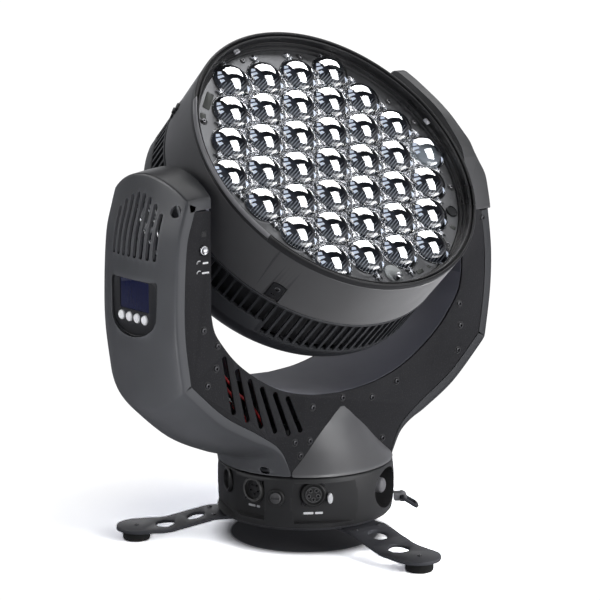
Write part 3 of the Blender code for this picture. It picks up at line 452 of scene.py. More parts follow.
FROST = coated("frosted_disc", (0.45, 0.47, 0.47), 0.35, grain=500.0, bump=0.2, spread=0.1, edge_highlight=0.0)
SCREEN = screen_glass()
# Lighter, lavender-tinted colour: painted sheen on the trough's satin plastic
TROUGH = coated("trough_satin_painted_sheen", (0.150, 0.152, 0.185), 0.6, bump=0.06)
# Lighter colour than the other black plastics: painted highlight on the bell
BELL = coated("bell_satin_painted_highlight", (0.095, 0.095, 0.10), 0.36, bump=0.06)
BASE_BLACK = coated("base_satin", (0.022, 0.022, 0.023), 0.42, bump=0.08)
LEG_BLACK = coated("leg_powder", (0.042, 0.043, 0.050), 0.45, grain=500.0, bump=0.3, speck=0.1)
SOCKET_BLACK = coated("socket_black", (0.010, 0.010, 0.010), 0.35, bump=0.05)
SOCKET_GREY = coated("socket_grey", (0.08, 0.08, 0.082), 0.4, bump=0.05)
DISPLAY_GREY = coated("display_grey", (0.026, 0.027, 0.031), 0.4, bump=0.08)
GLINT_GLOW = coated("painted_glint_glow", (0.75, 0.77, 0.80), 0.2, spread=0.15, edge_highlight=0.0, grain=300.0)
# Glow on the pale patches: painted glints in the lenses
GLINT_GLOW.node_tree.nodes["Principled BSDF"].inputs["Emission Color"].default_value = (0.85, 0.9, 1.0, 1)
GLINT_GLOW.node_tree.nodes["Principled BSDF"].inputs["Emission Strength"].default_value = 0.6
PALE = coated("pale_clip", (0.62, 0.62, 0.66), 0.3, spread=0.05, edge_highlight=0.0)
PATCH = coated("dark_patch", (0.045, 0.05, 0.045), 0.5, spread=0.5)
# Pale grey: painted highlight on the bezel rim strip, and the pale print of the drum latch catch
RIM_HIGHLIGHT_AND_PRINT_GREY = coated("rim_highlight_and_print_grey", (0.20, 0.20, 0.21), 0.3, bump=0.05)


# ---------------------------------------------------------------- head

LENS_PITCH = 40.5 * MM
LENS_RADIUS = 19.9 * MM
BEZEL_FRONT = 68.4 * MM
LENS_PLATE_TOP = 53.2 * MM


def head_piece(bm, name, material, replaces=(), body="head", smooth=35):
    obj = to_object(bm, name, smooth)
    return show(obj, material, body, replaces, HEAD)


def at(angle, radius=0.0, height=0.0):
    """Frame on the head's cylinder: X outwards, Y round, Z along the beam; angle in degrees."""
    return Matrix.Rotation(math.radians(angle), 4, "Z") @ Matrix.Translation((radius, 0, height))


def build_bezel():
    r, f = DRUM_RADIUS, BEZEL_FRONT
    outline = [
        (0, -6.2),
        (0, -1.6),
        (-0.15, -1.0),
        (-0.55, -0.45),
        (-1.1, -0.1),
        (-1.7, 0),
        (-2.3, -0.2),
        (-2.7, -0.8),
        (-2.85, -2.6),
        (-3.1, -3.2),
        (-4.1, -3.3),
        (-4.4, -3.0),
        (-4.6, -2.0),
        (-5.0, -1.6),
        (-5.6, -1.6),
        (-6.1, -2.0),
        (-6.4, -2.8),
        (-6.6, -8.6),
        (-7.0, -9.1),
        (-8.3, -9.3),
        (-8.6, -9.8),
        (-8.7, -12.2),
        (-9.0, -12.6),
        (-10.6, -12.9),
        (-10.9, -13.4),
        (-10.9, -18.5),
        (-2.9, -18.5),
        (-2.9, -6.2),
    ]
    bm = bmesh.new()
    lathe(bm, [(r + x * MM, f + z * MM) for x, z in outline], 256)
    ring = to_object(bm, "bezel_ring")
    notch = tool(lambda b: plate(b, rounded(7 * MM, 0.5 * MM, 0.2 * MM, (149 * MM, 0)), f - 9 * MM, f + 3 * MM))
    notch.data.transform(at(-148.5))


    def corner_lenses(b):
        for i in range(6):
            a = math.tau * i / 6
            x, y = 3 * LENS_PITCH * math.cos(a), 3 * LENS_PITCH * math.sin(a)
            r1 = 20.36 * MM
            lathe(b, [(0, 40 * MM), (r1, 40 * MM), (r1, 90 * MM), (0, 90 * MM)], 96, Matrix.Translation((x, y, 0)), closed=False)

    boolean(ring, [notch, tool(corner_lenses)])
    show(ring, BEZEL, "head", ("front_bezel",), HEAD)
    # Chamfer strip on the left part of the rim, pale grey to paint the highlight the rim catches there
    bm = bmesh.new()
    section = [(-0.1, -3.2), (0.15, -2.2), (0.1, -1.0), (-0.6, 0.0), (-1.6, 0.55), (-2.6, 0.6), (-3.0, 0.1), (-2.6, -0.9)]
    rings = []
    for i in range(97):
        a = math.radians(142.5 + 68.7 * i / 96)
        fade = min(1.0, i / 8)
        ring = []
        for x, z in section:
            rr = r + (x * fade - 1.2 * (1 - fade)) * MM
            ring.append(bm.verts.new((rr * math.cos(a), rr * math.sin(a), f + (z * fade - 1.5 * (1 - fade)) * MM)))
        rings.append(ring)
    skin(bm, rings)
    bm.faces.new(rings[0])
    bm.faces.new(rings[-1])
    head_piece(bm, "rim_chamfer_highlight_strip", RIM_HIGHLIGHT_AND_PRINT_GREY)
    for name, angle in (("filter_clip_left", 107.5), ("filter_clip_right", 13.0)):
        bm = bmesh.new()
        plate(bm, rounded(4.2 * MM, 6.4 * MM, 0.6 * MM, (0, 0)), -1.2 * MM, 1.0 * MM)
        plate(bm, rounded(1.6 * MM, 3.0 * MM, 0.5 * MM, (-1.4 * MM, 0)), 0.8 * MM, 2.2 * MM)
        bmesh.ops.transform(bm, matrix=at(angle, 141.6 * MM, 60.6 * MM), verts=bm.verts)
        clip = bevel(to_object(bm, name), 0.3 * MM, 2)
        show(clip, PALE, "head", (), HEAD)


def shaft_tool():
    turn = Matrix.Rotation(math.radians(90), 4, "Y")
    reach = 170 * MM
    return tool(lambda b: lathe(b, [(0, -reach), (14 * MM, -reach), (14 * MM, reach), (0, reach)], 64, turn, closed=False))


LATCH_ANGLE = -135.3


def latch_outline(inset):
    half = 7.6 * MM - inset
    low, high = 5.9 * MM + inset, 25.6 * MM - inset
    points = [(-half, low), (half, low), (half, high)]
    for i in range(1, 8):
        a = math.pi * i / 8
        points.append((half * math.cos(a), high + (2.4 * MM - inset * 0.4) * math.sin(a)))
    return points + [(-half, high)]


def build_drum():
    bm = bmesh.new()
    r = DRUM_RADIUS
    low, high = 5.1 * MM, BEZEL_FRONT - 6.6 * MM
    outline = [
        (r - 0.5 * MM, low),
        (r, low + 0.5 * MM),
        (r, high - 0.5 * MM),
        (r - 0.5 * MM, high),
        (r - 2.6 * MM, high),
        (r - 2.6 * MM, low),
    ]
    lathe(bm, outline, 256)
    drum = to_object(bm, "drum_shell")
    recess = tool(lambda b: plate(b, latch_outline(0), r - 2.2 * MM, r + 5 * MM, "X"))
    recess.data.transform(at(LATCH_ANGLE))
    seam = tool(lambda b: plate(b, [(-0.22 * MM, 28.4 * MM), (0.22 * MM, 28.4 * MM), (0.22 * MM, 70 * MM), (-0.22 * MM, 70 * MM)], r - 0.35 * MM, r + 5 * MM, "X"))
    seam.data.transform(at(-142.5) @ Matrix.Rotation(math.radians(0), 4, "X"))
    upper = tool(lambda b: plate(b, latch_outline(0), r - 1.3 * MM, r + 5 * MM, "X"))
    upper.data.transform(at(-LATCH_ANGLE))
    boolean(drum, [shaft_tool(), recess, upper, seam])
    show(drum, DRUM, "head", ("head_drum",), HEAD)
    bm = bmesh.new()
    plate(bm, latch_outline(1.1 * MM), r - 1.6 * MM, r - 0.75 * MM, "X")
    latch = bevel(to_object(bm, "drum_latch_plate"), 0.25 * MM, 2)
    hole = tool(lambda b: plate(b, oval(1.5 * MM, 1.5 * MM, (0.6 * MM, 19.5 * MM), 20), r - 3 * MM, r + 3 * MM, "X"))
    slot = tool(lambda b: plate(b, rounded(4.2 * MM, 1.3 * MM, 0.6 * MM, (-0.4 * MM, 12.2 * MM)), r - 3 * MM, r + 3 * MM, "X"))
    boolean(latch, [hole, slot])
    latch.data.transform(at(LATCH_ANGLE))
    show(latch, TEXTURED, "head", (), HEAD)
    bm = bmesh.new()
    torus(bm, 2.4 * MM, 0.35 * MM, Matrix.Translation((r - 0.9 * MM, 0.6 * MM, 19.5 * MM)) @ Matrix.Rotation(math.radians(90), 4, "Y"), math.radians(250), 0.6, 24, 8)
    mark = to_object(bm, "drum_latch_catch")
    mark.data.transform(at(LATCH_ANGLE))
    show(mark, RIM_HIGHLIGHT_AND_PRINT_GREY, "head", (), HEAD)


def build_upper_catch():
    """Catch on the far side of the drum; only its raised hooks show at the outline."""
    r = DRUM_RADIUS
    bm = bmesh.new()
    plate(bm, latch_outline(0.75 * MM), r - 1.6 * MM, r - 0.2 * MM, "X")
    plate(bm, rounded(9.0 * MM, 3.2 * MM, 0.8 * MM, (0, 20.5 * MM)), r - 0.4 * MM, r + 2.2 * MM, "X")
    plate(bm, rounded(7.0 * MM, 2.4 * MM, 0.8 * MM, (0, 14.5 * MM)), r - 0.4 * MM, r + 3.0 * MM, "X")
    plate(bm, rounded(9.0 * MM, 2.8 * MM, 0.8 * MM, (0, 9.2 * MM)), r - 0.4 * MM, r + 1.6 * MM, "X")
    catch = bevel(to_object(bm, "drum_upper_catch"), 0.3 * MM, 2)
    catch.data.transform(at(-LATCH_ANGLE))
    show(catch, CHARCOAL, "head", (), HEAD)


VENT_LOW, VENT_HIGH = -40.2 * MM, 4.7 * MM
VENT_SHORT = -24.5 * MM
VENT_SLOTS = 104
VENT_DUTY = 0.72


def near_shaft(angle):
    return abs(math.cos(angle)) > math.cos(math.radians(11))


def beside_shaft(angle):
    return abs(math.cos(angle)) > math.cos(math.radians(47.2))


def build_vents():
    """Ring with 104 upright slots; those beside the tilt shafts end higher."""
    bm = bmesh.new()
    outer = DRUM_RADIUS - 0.2 * MM
    inner = outer - 3.0 * MM
    heights = [VENT_LOW, VENT_LOW + 2.6 * MM, VENT_SHORT, VENT_HIGH - 3.2 * MM, VENT_HIGH - 2.2 * MM, VENT_HIGH - 0.7 * MM, VENT_HIGH]
    extra = [0, 0, 0, 0, 0.75, 0.7, 0]
    period = math.tau / VENT_SLOTS
    edges = []
    for i in range(VENT_SLOTS):
        middle = period * (i + 0.5)
        if near_shaft(middle):
            first = 3
        elif beside_shaft(middle):
            first = 2
        else:
            first = 1
        edges.append((middle - period * VENT_DUTY / 2, first))
        edges.append((middle + period * VENT_DUTY / 2, 3))
    grid = []
    for angle, _ in edges:
        c, s = math.cos(angle), math.sin(angle)
        wall = [bm.verts.new(((outer + e * MM) * c, (outer + e * MM) * s, z)) for z, e in zip(heights, extra)]
        back = [bm.verts.new((inner * c, inner * s, z)) for z in heights]
        grid.append((wall, back))
    count, top = len(edges), len(heights) - 1
    for i, (_, first) in enumerate(edges):
        a, b = grid[i], grid[(i + 1) % count]
        for k in range(top):
            if first <= k < 3:
                for wall, back in (a, b):
                    bm.faces.new([wall[k], wall[k + 1], back[k + 1], back[k]])
                if k == first:
                    bm.faces.new([a[0][k], b[0][k], b[1][k], a[1][k]])
                if k == 2:
                    bm.faces.new([a[0][3], b[0][3], b[1][3], a[1][3]])
                continue
            for side in (0, 1):
                bm.faces.new([a[side][k], b[side][k], b[side][k + 1], a[side][k + 1]])
        for k in (0, top):
            bm.faces.new([a[0][k], b[0][k], b[1][k], a[1][k]])
    ring = to_object(bm, "vent_grille", 30)
    boolean(ring, [shaft_tool()])
    show(ring, CHARCOAL, "head", ("vent_ring",), HEAD)
    bm = bmesh.new()
    lathe(bm, [(inner - 5 * MM, VENT_LOW), (inner - 5 * MM, VENT_HIGH), (inner - 5.6 * MM, VENT_HIGH), (inner - 5.6 * MM, VENT_LOW)], 128)
    liner = to_object(bm, "vent_mesh_liner")
    boolean(liner, [shaft_tool()])
    show(liner, DARK, "head", (), HEAD)
    # Raised cheeks of the rear cover beside the tilt shafts
    for name, middle in (("rear_cheek_left", 180), ("rear_cheek_right", 0)):
        bm = bmesh.new()
        rings = []
        for i in range(73):
            a = math.radians(middle - 47 + 94 * i / 72)
            out = outer + (0.9 if 0 < i < 72 else 0.5) * MM
            ring = []
            for x, z in ((out - 1.2 * MM, VENT_SHORT - 0.4 * MM), (out - 0.2 * MM, VENT_SHORT - 0.6 * MM), (out, VENT_SHORT - 1.4 * MM), (out, VENT_LOW - 1 * MM), (out - 1.2 * MM, VENT_LOW - 1 * MM)):
                ring.append(bm.verts.new((x * math.cos(a), x * math.sin(a), z)))
            rings.append(ring)
        skin(bm, rings)
        bm.faces.new(rings[0])
        bm.faces.new(rings[-1])
        head_piece(bm, name, CHARCOAL)


REAR_PROFILE = [(150, -40.6), (149.6, -43), (147.4, -50), (141, -61), (127, -76), (109, -88), (88, -95.5), (66, -99.3), (44, -101)]


def build_rear_cover():
    bm = bmesh.new()
    smooth = catmull(REAR_PROFILE, 5)
    outer = [(x * MM, z * MM) for x, z in smooth]
    inner = [(max(x - 2.2, 44.4) * MM, (z + 2.2 if x < 149 else z) * MM) for x, z in reversed(smooth)]
    lathe(bm, outer + inner, 192)
    cover = to_object(bm, "rear_dome")

    def slots(b):
        for i in range(12):
            for k in range(5):
                verts = plate(b, rounded(26 * MM, 2.6 * MM, 1.25 * MM, (105 * MM, (k - 2) * 5.2 * MM), 3), -112 * MM, -70 * MM)
                bmesh.ops.transform(b, matrix=Matrix.Rotation(math.tau * (i + 0.5) / 12, 4, "Z"), verts=verts)

    boolean(cover, [tool(slots)])
    show(cover, CHARCOAL, "head", ("rear_cover",), HEAD)


def lens_centres():
    centres = []
    for row in range(-3, 4):
        count = 7 - abs(row)
        y = row * LENS_PITCH * math.sin(math.radians(60))
        for i in range(count):
            centres.append(((i - (count - 1) / 2) * LENS_PITCH, y))
    return centres


def build_lenses():
    base = LENS_PLATE_TOP - 1.5 * MM
    dome_profile = []
    for i in range(19):
        a = math.radians(90 * i / 18)
        dome_profile.append((LENS_RADIUS * math.sin(a), base + 13.4 * MM * math.cos(a)))
    bm = bmesh.new()
    for x, y in lens_centres():
        lathe(bm, dome_profile, 64, Matrix.Translation((x, y, 0)), closed=False)
    domes = to_object(bm, "lens_domes", 180)
    show(domes, GLASS, "lens_carriage", ("lens_array",), HEAD)
    wall = [(LENS_RADIUS - 0.3 * MM, base + 0.4 * MM)]
    for i in range(1, 9):
        t = i / 8
        wall.append((LENS_RADIUS - 0.3 * MM - 6.5 * MM * t**1.4, base - 8.4 * MM * t))
    floor = [wall[-1], (9.0 * MM, base - 9.4 * MM), (4.0 * MM, base - 8.9 * MM), (0, base - 8.5 * MM)]
    bm = bmesh.new()
    for x, y in lens_centres():
        lathe(bm, wall, 48, Matrix.Translation((x, y, 0)), closed=False)
    show(to_object(bm, "lens_cups", 180), CUP, "lens_carriage", (), HEAD)
    bm = bmesh.new()
    for x, y in lens_centres():
        lathe(bm, floor, 48, Matrix.Translation((x, y, 0)), closed=False)
    show(to_object(bm, "lens_cup_floors", 180), CUP_FLOOR, "lens_carriage", (), HEAD)
    # Light guide bars across the lower half of every cup
    bm = bmesh.new()
    lean = math.radians(31)
    u, v = Vector((math.cos(lean), math.sin(lean), 0)), Vector((-math.sin(lean), math.cos(lean), 0))
    reach = LENS_RADIUS - 1.4 * MM
    for x, y in lens_centres():
        for k in range(-6, 3):
            d = (k + 0.3) * 2.75 * MM
            half = math.sqrt(max(reach**2 - d * d, 0))
            end = min(half, (1.5 * MM - d * v.y) / u.y)
            if end - -half < 3 * MM:
                continue
            corners = []
            for s, side in ((-half, -1), (end, -1), (end, 1), (-half, 1)):
                corners.append(Vector((x, y, 0)) + u * s + v * (d + side * 0.42 * MM))
            low, high = base - 3.2 * MM, base - 0.2 * MM
            rings = [[bm.verts.new((p.x, p.y, z)) for p in corners] for z in (low, high)]
            skin(bm, rings)
            for ring in rings:
                bm.faces.new(ring)
    show(to_object(bm, "lens_light_bars", 30), FIN, "lens_carriage", (), HEAD)
    # Small pale glowing patches inside the edge of every dome: painted glints standing in for reflections
    bm = bmesh.new()
    for x, y in lens_centres():
        facets = []
        for middle, width, inner, outer in ((150, 7, 14.0, 17.2), (168, 6, 12.8, 17.4), (186, 6, 14.0, 17.0)):
            facets.append(((middle - width, outer), (middle + width * 0.8, outer), (middle + width, inner), (middle - width * 0.6, inner + 0.6)))
        facets.append(((-60, 18.2), (-42, 18.4), (-46, 16.2), (-54, 13.6)))
        for facet in facets:
            rings = []
            for lift in (0, 0.35):
                ring = []
                for degrees, r in facet:
                    a = math.radians(degrees)
                    z = 13.4 * math.sqrt(1 - (r / 19.9) ** 2) - 1.0
                    ring.append(bm.verts.new((x + r * MM * math.cos(a), y + r * MM * math.sin(a), base + (z + lift) * MM)))
                rings.append(ring)
            skin(bm, rings)
            for ring in rings:
                bm.faces.new(ring)
    show(to_object(bm, "lens_painted_glints", 20), GLINT_GLOW, "lens_carriage", (), HEAD)
    # One cup at the right end of the middle row holds a frosted diffuser
    x, y = max(lens_centres())
    bm = bmesh.new()
    lathe(bm, [(0, base + 1.2 * MM), (17.4 * MM, base + 0.2 * MM), (17.4 * MM, base - 0.8 * MM), (0, base - 0.8 * MM)], 48, Matrix.Translation((x, y, 0)), closed=False)
    show(to_object(bm, "lens_diffuser", 40), FROST, "lens_carriage", (), HEAD)


def lens_joints():
    """Places between three neighbouring lenses, with the side of the triangle they sit in."""
    centres = lens_centres()
    found = {}
    for ax, ay in centres:
        for side in (1, -1):
            x, y = ax, ay + side * LENS_PITCH / math.sqrt(3)
            near = [c for c in centres if math.hypot(c[0] - x, c[1] - y) < LENS_PITCH * 0.62]
            found[round(x / MM, 1), round(y / MM, 1)] = (x, y, side, len(near))
    return list(found.values())


def build_lens_plate():
    """Silver plate round the lens field, raised rims and facets between the lenses, screws and marks."""
    low, high = LENS_PLATE_TOP - 1.2 * MM, LENS_PLATE_TOP
    bm = bmesh.new()
    lathe(bm, [(0, low), (138.7 * MM, low), (138.7 * MM, high - 0.3 * MM), (138.4 * MM, high), (0, high)], 192, closed=False)
    disc = to_object(bm, "silver_lens_plate")

    def holes(b):
        for x, y in lens_centres():
            lathe(b, [(0, low - 5 * MM), (19.7 * MM, low - 5 * MM), (19.7 * MM, high + 5 * MM), (0, high + 5 * MM)], 48, Matrix.Translation((x, y, 0)), closed=False)
        lathe(b, [(0, low - 5 * MM), (3.8 * MM, low - 5 * MM), (3.8 * MM, high + 5 * MM), (0, high + 5 * MM)], 24, Matrix.Translation((0, -133 * MM, 0)), closed=False)

    boolean(disc, [tool(holes)])
    show(disc, SILVER, "lens_carriage", ("lens_plate",), HEAD)
    bm = bmesh.new()
    for x, y in lens_centres():
        ring = [(19.7, -1), (19.72, 1.0), (19.95, 1.35), (20.2, 0.9), (20.25, -1)]
        lathe(bm, [(r * MM, high + z * MM) for r, z in ring], 48, Matrix.Translation((x, y, 0)))
    show(to_object(bm, "lens_rims"), BRIGHT, "lens_carriage", (), HEAD)
    bm = bmesh.new()
    for x, y, side, near in lens_joints():
        steps = 3 if near == 3 else 6
        turn = math.radians(90 if side > 0 else -90)
        rings = []
        for reach, z in ((6.2, -0.2), (5.2, 1.5), (3.0, 2.8), (1.2, 1.8)):
            ring = []
            for i in range(steps * 2):
                a = turn + math.tau * i / (steps * 2)
                r = reach * (1.0 if i % 2 == 0 else 0.42)
                ring.append(bm.verts.new((x + r * MM * math.cos(a), y + r * MM * math.sin(a), high + z * MM)))
            rings.append(ring)
        skin(bm, rings)
        bm.faces.new(rings[0])
        bm.faces.new(rings[-1])
    show(to_object(bm, "web_facets", 8), BRIGHT, "lens_carriage", (), HEAD)
    bm = bmesh.new()
    for angle, radius in ((74.3, 133), (30, 130), (16, 134.6), (-18.5, 134.4), (151.2, 133), (105, 133.5), (-150, 134), (-120, 134), (-52, 134)):
        a = math.radians(angle)
        place = Matrix.Translation((radius * MM * math.cos(a), radius * MM * math.sin(a), high))
        socket_screw(bm, 2.5 * MM, 1.5 * MM, place)
    show(to_object(bm, "plate_screws"), SCREW, "lens_carriage", (), HEAD)
    bm = bmesh.new()
    for angle, radius in ((74.3, 133), (30, 130), (16, 134.6), (-18.5, 134.4), (151.2, 133)):
        a = math.radians(angle)
        place = Matrix.Translation((radius * MM * math.cos(a), radius * MM * math.sin(a), high + 0.1 * MM))
        torus(bm, 3.4 * MM, 0.5 * MM, place, steps=32, sides=8)
    show(to_object(bm, "plate_washers"), DARK, "lens_carriage", (), HEAD)
    bm = bmesh.new()
    for angle, radius, length, width in ((139, 131.5, 22, 7.5), (148.5, 134, 6.5, 5.5), (56, 133.2, 17, 5), (-76, 133.4, 9, 4.5), (-70, 134.2, 3, 3), (-41, 134, 4, 6)):
        verts = plate(bm, rounded(width * MM, length * MM, 1.2 * MM), 0, 0.5 * MM)
        bmesh.ops.transform(bm, matrix=at(angle, radius * MM, high), verts=verts)
    patches = bevel(to_object(bm, "plate_patches"), 0.15 * MM, 1)
    show(patches, PATCH, "lens_carriage", (), HEAD)
    # Raised boss with a round rim on the right side, and the guide bush of the zoom screw
    bm = bmesh.new()
    boss = [(0, 0), (6.4, 0), (6.4, 1.0), (5.8, 1.5), (4.9, 1.5), (4.6, 0.8), (0, 0.6)]
    lathe(bm, [(r * MM, high + z * MM) for r, z in boss], 40, at(-32.1, 131.2 * MM), closed=False)
    show(to_object(bm, "plate_boss"), SILVER, "lens_carriage", (), HEAD)
    bm = bmesh.new()
    rings = []
    for centre_y, radius, z in ((-133, 3.7, 0), (-133, 3.7, 1.2), (-132, 4.8, 1.6), (-127.5, 9.0, 1.4), (-127.5, 9.5, 0.9), (-127.5, 9.5, 0)):
        ring = []
        for i in range(48):
            a = math.tau * i / 48
            ring.append(bm.verts.new((radius * math.cos(a) * MM, (centre_y + radius * math.sin(a)) * MM, high + z * MM)))
        rings.append(ring)
    skin(bm, rings, loop=True)
    show(to_object(bm, "zoom_screw_bush"), FROST, "lens_carriage", (), HEAD)


# ---------------------------------------------------------------- yoke

# Left half of the yoke's front outline, in mm: x, z, how far the middle of the arm stands out
# beyond it (sideways, upwards), and the width of the rim strip.
ARM_TOP = [
    (157.0, 329.0, 0, 22, 10.0),
    (170.0, 328.5, 1, 21, 10.0),
    (182.5, 327.0, 6, 20, 10.0),
]
ARM_SIDE = [
    (182.5, 327.0, 6, 20, 10.0),
    (187.0, 313.0, 8, 7, 10.0),
    (193.4, 288.0, 10, 0, 9.5),
    (196.5, 242.0, 11, 0, 9.5),
    (196.0, 200.0, 12, -2, 9.5),
    (189.6, 154.0, 11, -22, 9.5),
]
ARM_BOWL = [
    (189.6, 154.0, 11, -22, 9.5),
    (180.5, 144.6, 11, -23, 9.5),
    (148.0, 116.0, 11, -22, 9.5),
    (112.0, 95.0, 14, -17, 9.0),
    (93.0, 86.0, 17, -13, 6.5),
    (83.0, 80.0, 18, -10, 5.0),
    (74.4, 71.8, 20, -5, 3.2),
    (66.6, 57.0, 20, 0, 1.8),
    (64.8, 52.7, 20.6, 0, 1.5),
]
NECK_RADIUS = 85.4
SKIN = 2.6


def bulge(y):
    """0 at the arm's front and rear faces, 1 at its middle (y in mm)."""
    half = ARM_DEPTH / MM
    y = max(-half, min(half, y))
    edge = math.sqrt(NECK_RADIUS**2 - half**2)
    return (math.sqrt(NECK_RADIUS**2 - y**2) - edge) / (NECK_RADIUS - edge)


def stations(parts, steps=6):
    """Join the smooth stretches, rounding the corner between two of them."""
    rows = []
    for part in parts:
        smooth = catmull(part, steps)
        if rows:
            rows.pop()
            a, corner, b = rows[-1], smooth[0], smooth[1]
            for t in (0.25, 0.5, 0.75):
                rows.append(tuple((1 - t) ** 2 * u + 2 * t * (1 - t) * v + t * t * w for u, v, w in zip(a, corner, b)))
            rows.extend(smooth[1:])
        else:
            rows.extend(smooth)
    return rows


def normals_of(points):
    out = []
    for i in range(len(points)):
        a, b = points[max(i - 1, 0)], points[min(i + 1, len(points) - 1)]
        length = math.hypot(b[0] - a[0], b[1] - a[1]) or 1
        out.append((-(b[1] - a[1]) / length, (b[0] - a[0]) / length))
    return out


def arm_shell(name, rows, mirror):
    """Cover with a crowned outer wall, rounded edges and a rim strip on the front and the rear."""
    half = ARM_DEPTH / MM
    fillet = 1.8
    section = []
    flat = half - fillet
    for i in range(25):
        section.append((0.0, -flat + 2 * flat * i / 24))
    for a in (18, 36, 54, 72, 90):
        section.append((fillet * (1 - math.cos(math.radians(a))), flat + fillet * math.sin(math.radians(a))))
    section += [("strip", half - 0.0), ("strip", half - SKIN)]
    for i in range(13):
        section.append((SKIN, (half - SKIN) * (1 - i / 6)))
    section += [("strip", SKIN - half), ("strip", -half)]
    for a in (90, 72, 54, 36, 18):
        section.append((fillet * (1 - math.cos(math.radians(a))), -flat - fillet * math.sin(math.radians(a))))
    points = [(-r[0], r[1]) for r in rows]
    normals = normals_of(points)
    bm = bmesh.new()
    rings = []
    side = -1 if mirror else 1
    for (x, z), (nx, nz), (_, _, out, up, strip) in zip(points, normals, rows):
        ring = []
        for inset, y in section:
            if inset == "strip":
                depth = strip
            else:
                depth = min(inset, strip - 0.2)
            b = bulge(y)
            ring.append(bm.verts.new(Vector((side * (x - out * b + nx * depth), y, z + up * b + nz * depth)) * MM))
        rings.append(ring)
    skin(bm, rings)
    bm.faces.new(rings[0])
    bm.faces.new(rings[-1])
    return to_object(bm, name, 40)


def vent_slots(b, side):
    for i in range(8):
        y = (30.8 - 8.8 * i) * MM
        top = (331 - 16 * (y / (31 * MM)) ** 2) * MM
        low = 272 * MM
        plate(b, rounded(5.0 * MM, top - low, 2.4 * MM, (y, (top + low) / 2), 5), *sorted((side * 178 * MM, side * 230 * MM)), "X")


DISPLAY_Y = -1.5 * MM
DISPLAY_FACE = -203.4 * MM


def display_outline(inset):
    half = 33.5 * MM - inset
    top, side, low = 252.5 * MM - inset, 220 * MM, 199.5 * MM + inset
    points = []
    for sx in (-1, 1):
        corner = [(sx * half, top - 3 * MM), (sx * (half - 0.9 * MM), top - 0.9 * MM), (sx * (half - 3 * MM), top)]
        points.append([(DISPLAY_Y + x, z) for x, z in corner])
    arc = []
    for i in range(33):
        a = math.pi * i / 32
        arc.append((DISPLAY_Y - half * math.cos(a), side - (side - low) * math.sin(a)))
    return list(reversed(points[0])) + arc + points[1]


def build_left_arm():
    shell = arm_shell("left_arm_shell", stations([ARM_TOP, ARM_SIDE, ARM_BOWL]), False)
    cutters = [
        tool(lambda b: plate(b, display_outline(0), -230 * MM, -190 * MM, "X")),
        tool(lambda b: vent_slots(b, -1)),
        tool(lambda b: plate(b, oval(5.5 * MM, 5.5 * MM, (-46 * MM, 318 * MM)), -230 * MM, -180 * MM, "X")),
    ]
    hole = tool(lambda b: plate(b, oval(5.6 * MM, 3.9 * MM, (0, 57.6 * MM)), 60 * MM, 110 * MM, "X"))
    hole.data.transform(Matrix.Rotation(math.radians(-155.6), 4, "Z"))
    boolean(shell, cutters + [hole])
    show(shell, CHARCOAL, "yoke", ("left_arm_cover",), None)
    # Soft lip round the display recess
    bm = bmesh.new()
    outline = display_outline(-0.2 * MM)
    rings = []
    for inset, x in ((-0.9, 0.9), (-0.3, 0.15), (0.5, 0.0), (1.0, 0.6), (1.0, 2.4), (-0.9, 2.4)):
        rings.append([bm.verts.new((DISPLAY_FACE - 1.1 * MM + x * MM, y, z)) for y, z in display_outline(inset * MM)])
    skin(bm, rings, loop=True)
    show(to_object(bm, "display_lip", 50), CHARCOAL, "yoke", (), None)
    bm = bmesh.new()
    plate(bm, display_outline(1.2 * MM), DISPLAY_FACE, DISPLAY_FACE + 3 * MM, "X")
    panel = to_object(bm, "display_face")

    def windows(b):
        plate(b, rounded(44.0 * MM, 28.4 * MM, 1.8 * MM, (DISPLAY_Y, 237.5 * MM)), -230 * MM, -190 * MM, "X")
        for y in BUTTON_YS:
            plate(b, oval(5.1 * MM, 5.1 * MM, (y, BUTTON_Z)), -230 * MM, -190 * MM, "X")

    boolean(panel, [tool(windows)])
    bevel(panel, 0.35 * MM, 2)
    show(panel, DISPLAY_GREY, "yoke", ("display_panel",), None)
    bm = bmesh.new()
    plate(bm, rounded(43.2 * MM, 27.6 * MM, 1.5 * MM, (DISPLAY_Y, 237.5 * MM)), DISPLAY_FACE + 0.3 * MM, DISPLAY_FACE + 3 * MM, "X")
    glass = bevel(to_object(bm, "lcd_glass"), 0.3 * MM, 2)
    show(glass, SCREEN, "yoke", ("lcd_window",), None)
    for number, y in enumerate(BUTTON_YS, 1):
        bm = bmesh.new()
        profile = [(0, 1.75), (1.8, 1.72), (3.0, 1.5), (3.8, 1.15), (4.3, 0.6), (4.55, 0), (4.6, -5)]
        turn = Matrix.Translation((DISPLAY_FACE, y, BUTTON_Z)) @ Matrix.Rotation(math.radians(-90), 4, "Y")
        lathe(bm, [(r * MM, z * MM) for r, z in profile] + [(0, -5 * MM)], 32, turn, closed=False)
        name = f"menu_button_{number}"
        show(to_object(bm, name + "_cap", 50), WHITE, BODY_OF[name], (name,), None)


BUTTON_YS = [18.6 * MM, 6.8 * MM, -5.0 * MM, -16.8 * MM]
BUTTON_Z = 216.4 * MM


def station_at(z):
    for a, b in zip(ARM_TOP[1:] + ARM_SIDE, ARM_SIDE + ARM_BOWL):
        if a[1] >= z > b[1]:
            t = (a[1] - z) / (a[1] - b[1])
            return tuple(u + (v - u) * t for u, v in zip(a, b))


SEAM_Z = 283.0


def build_right_arm():
    seam = station_at(SEAM_Z - 0.3)
    side = [seam] + [s for s in ARM_SIDE if s[1] < 280]
    shell = arm_shell("right_arm_shell", stations([side, ARM_BOWL]), True)
    show(shell, CHARCOAL, "yoke", ("right_arm_cover",), None)


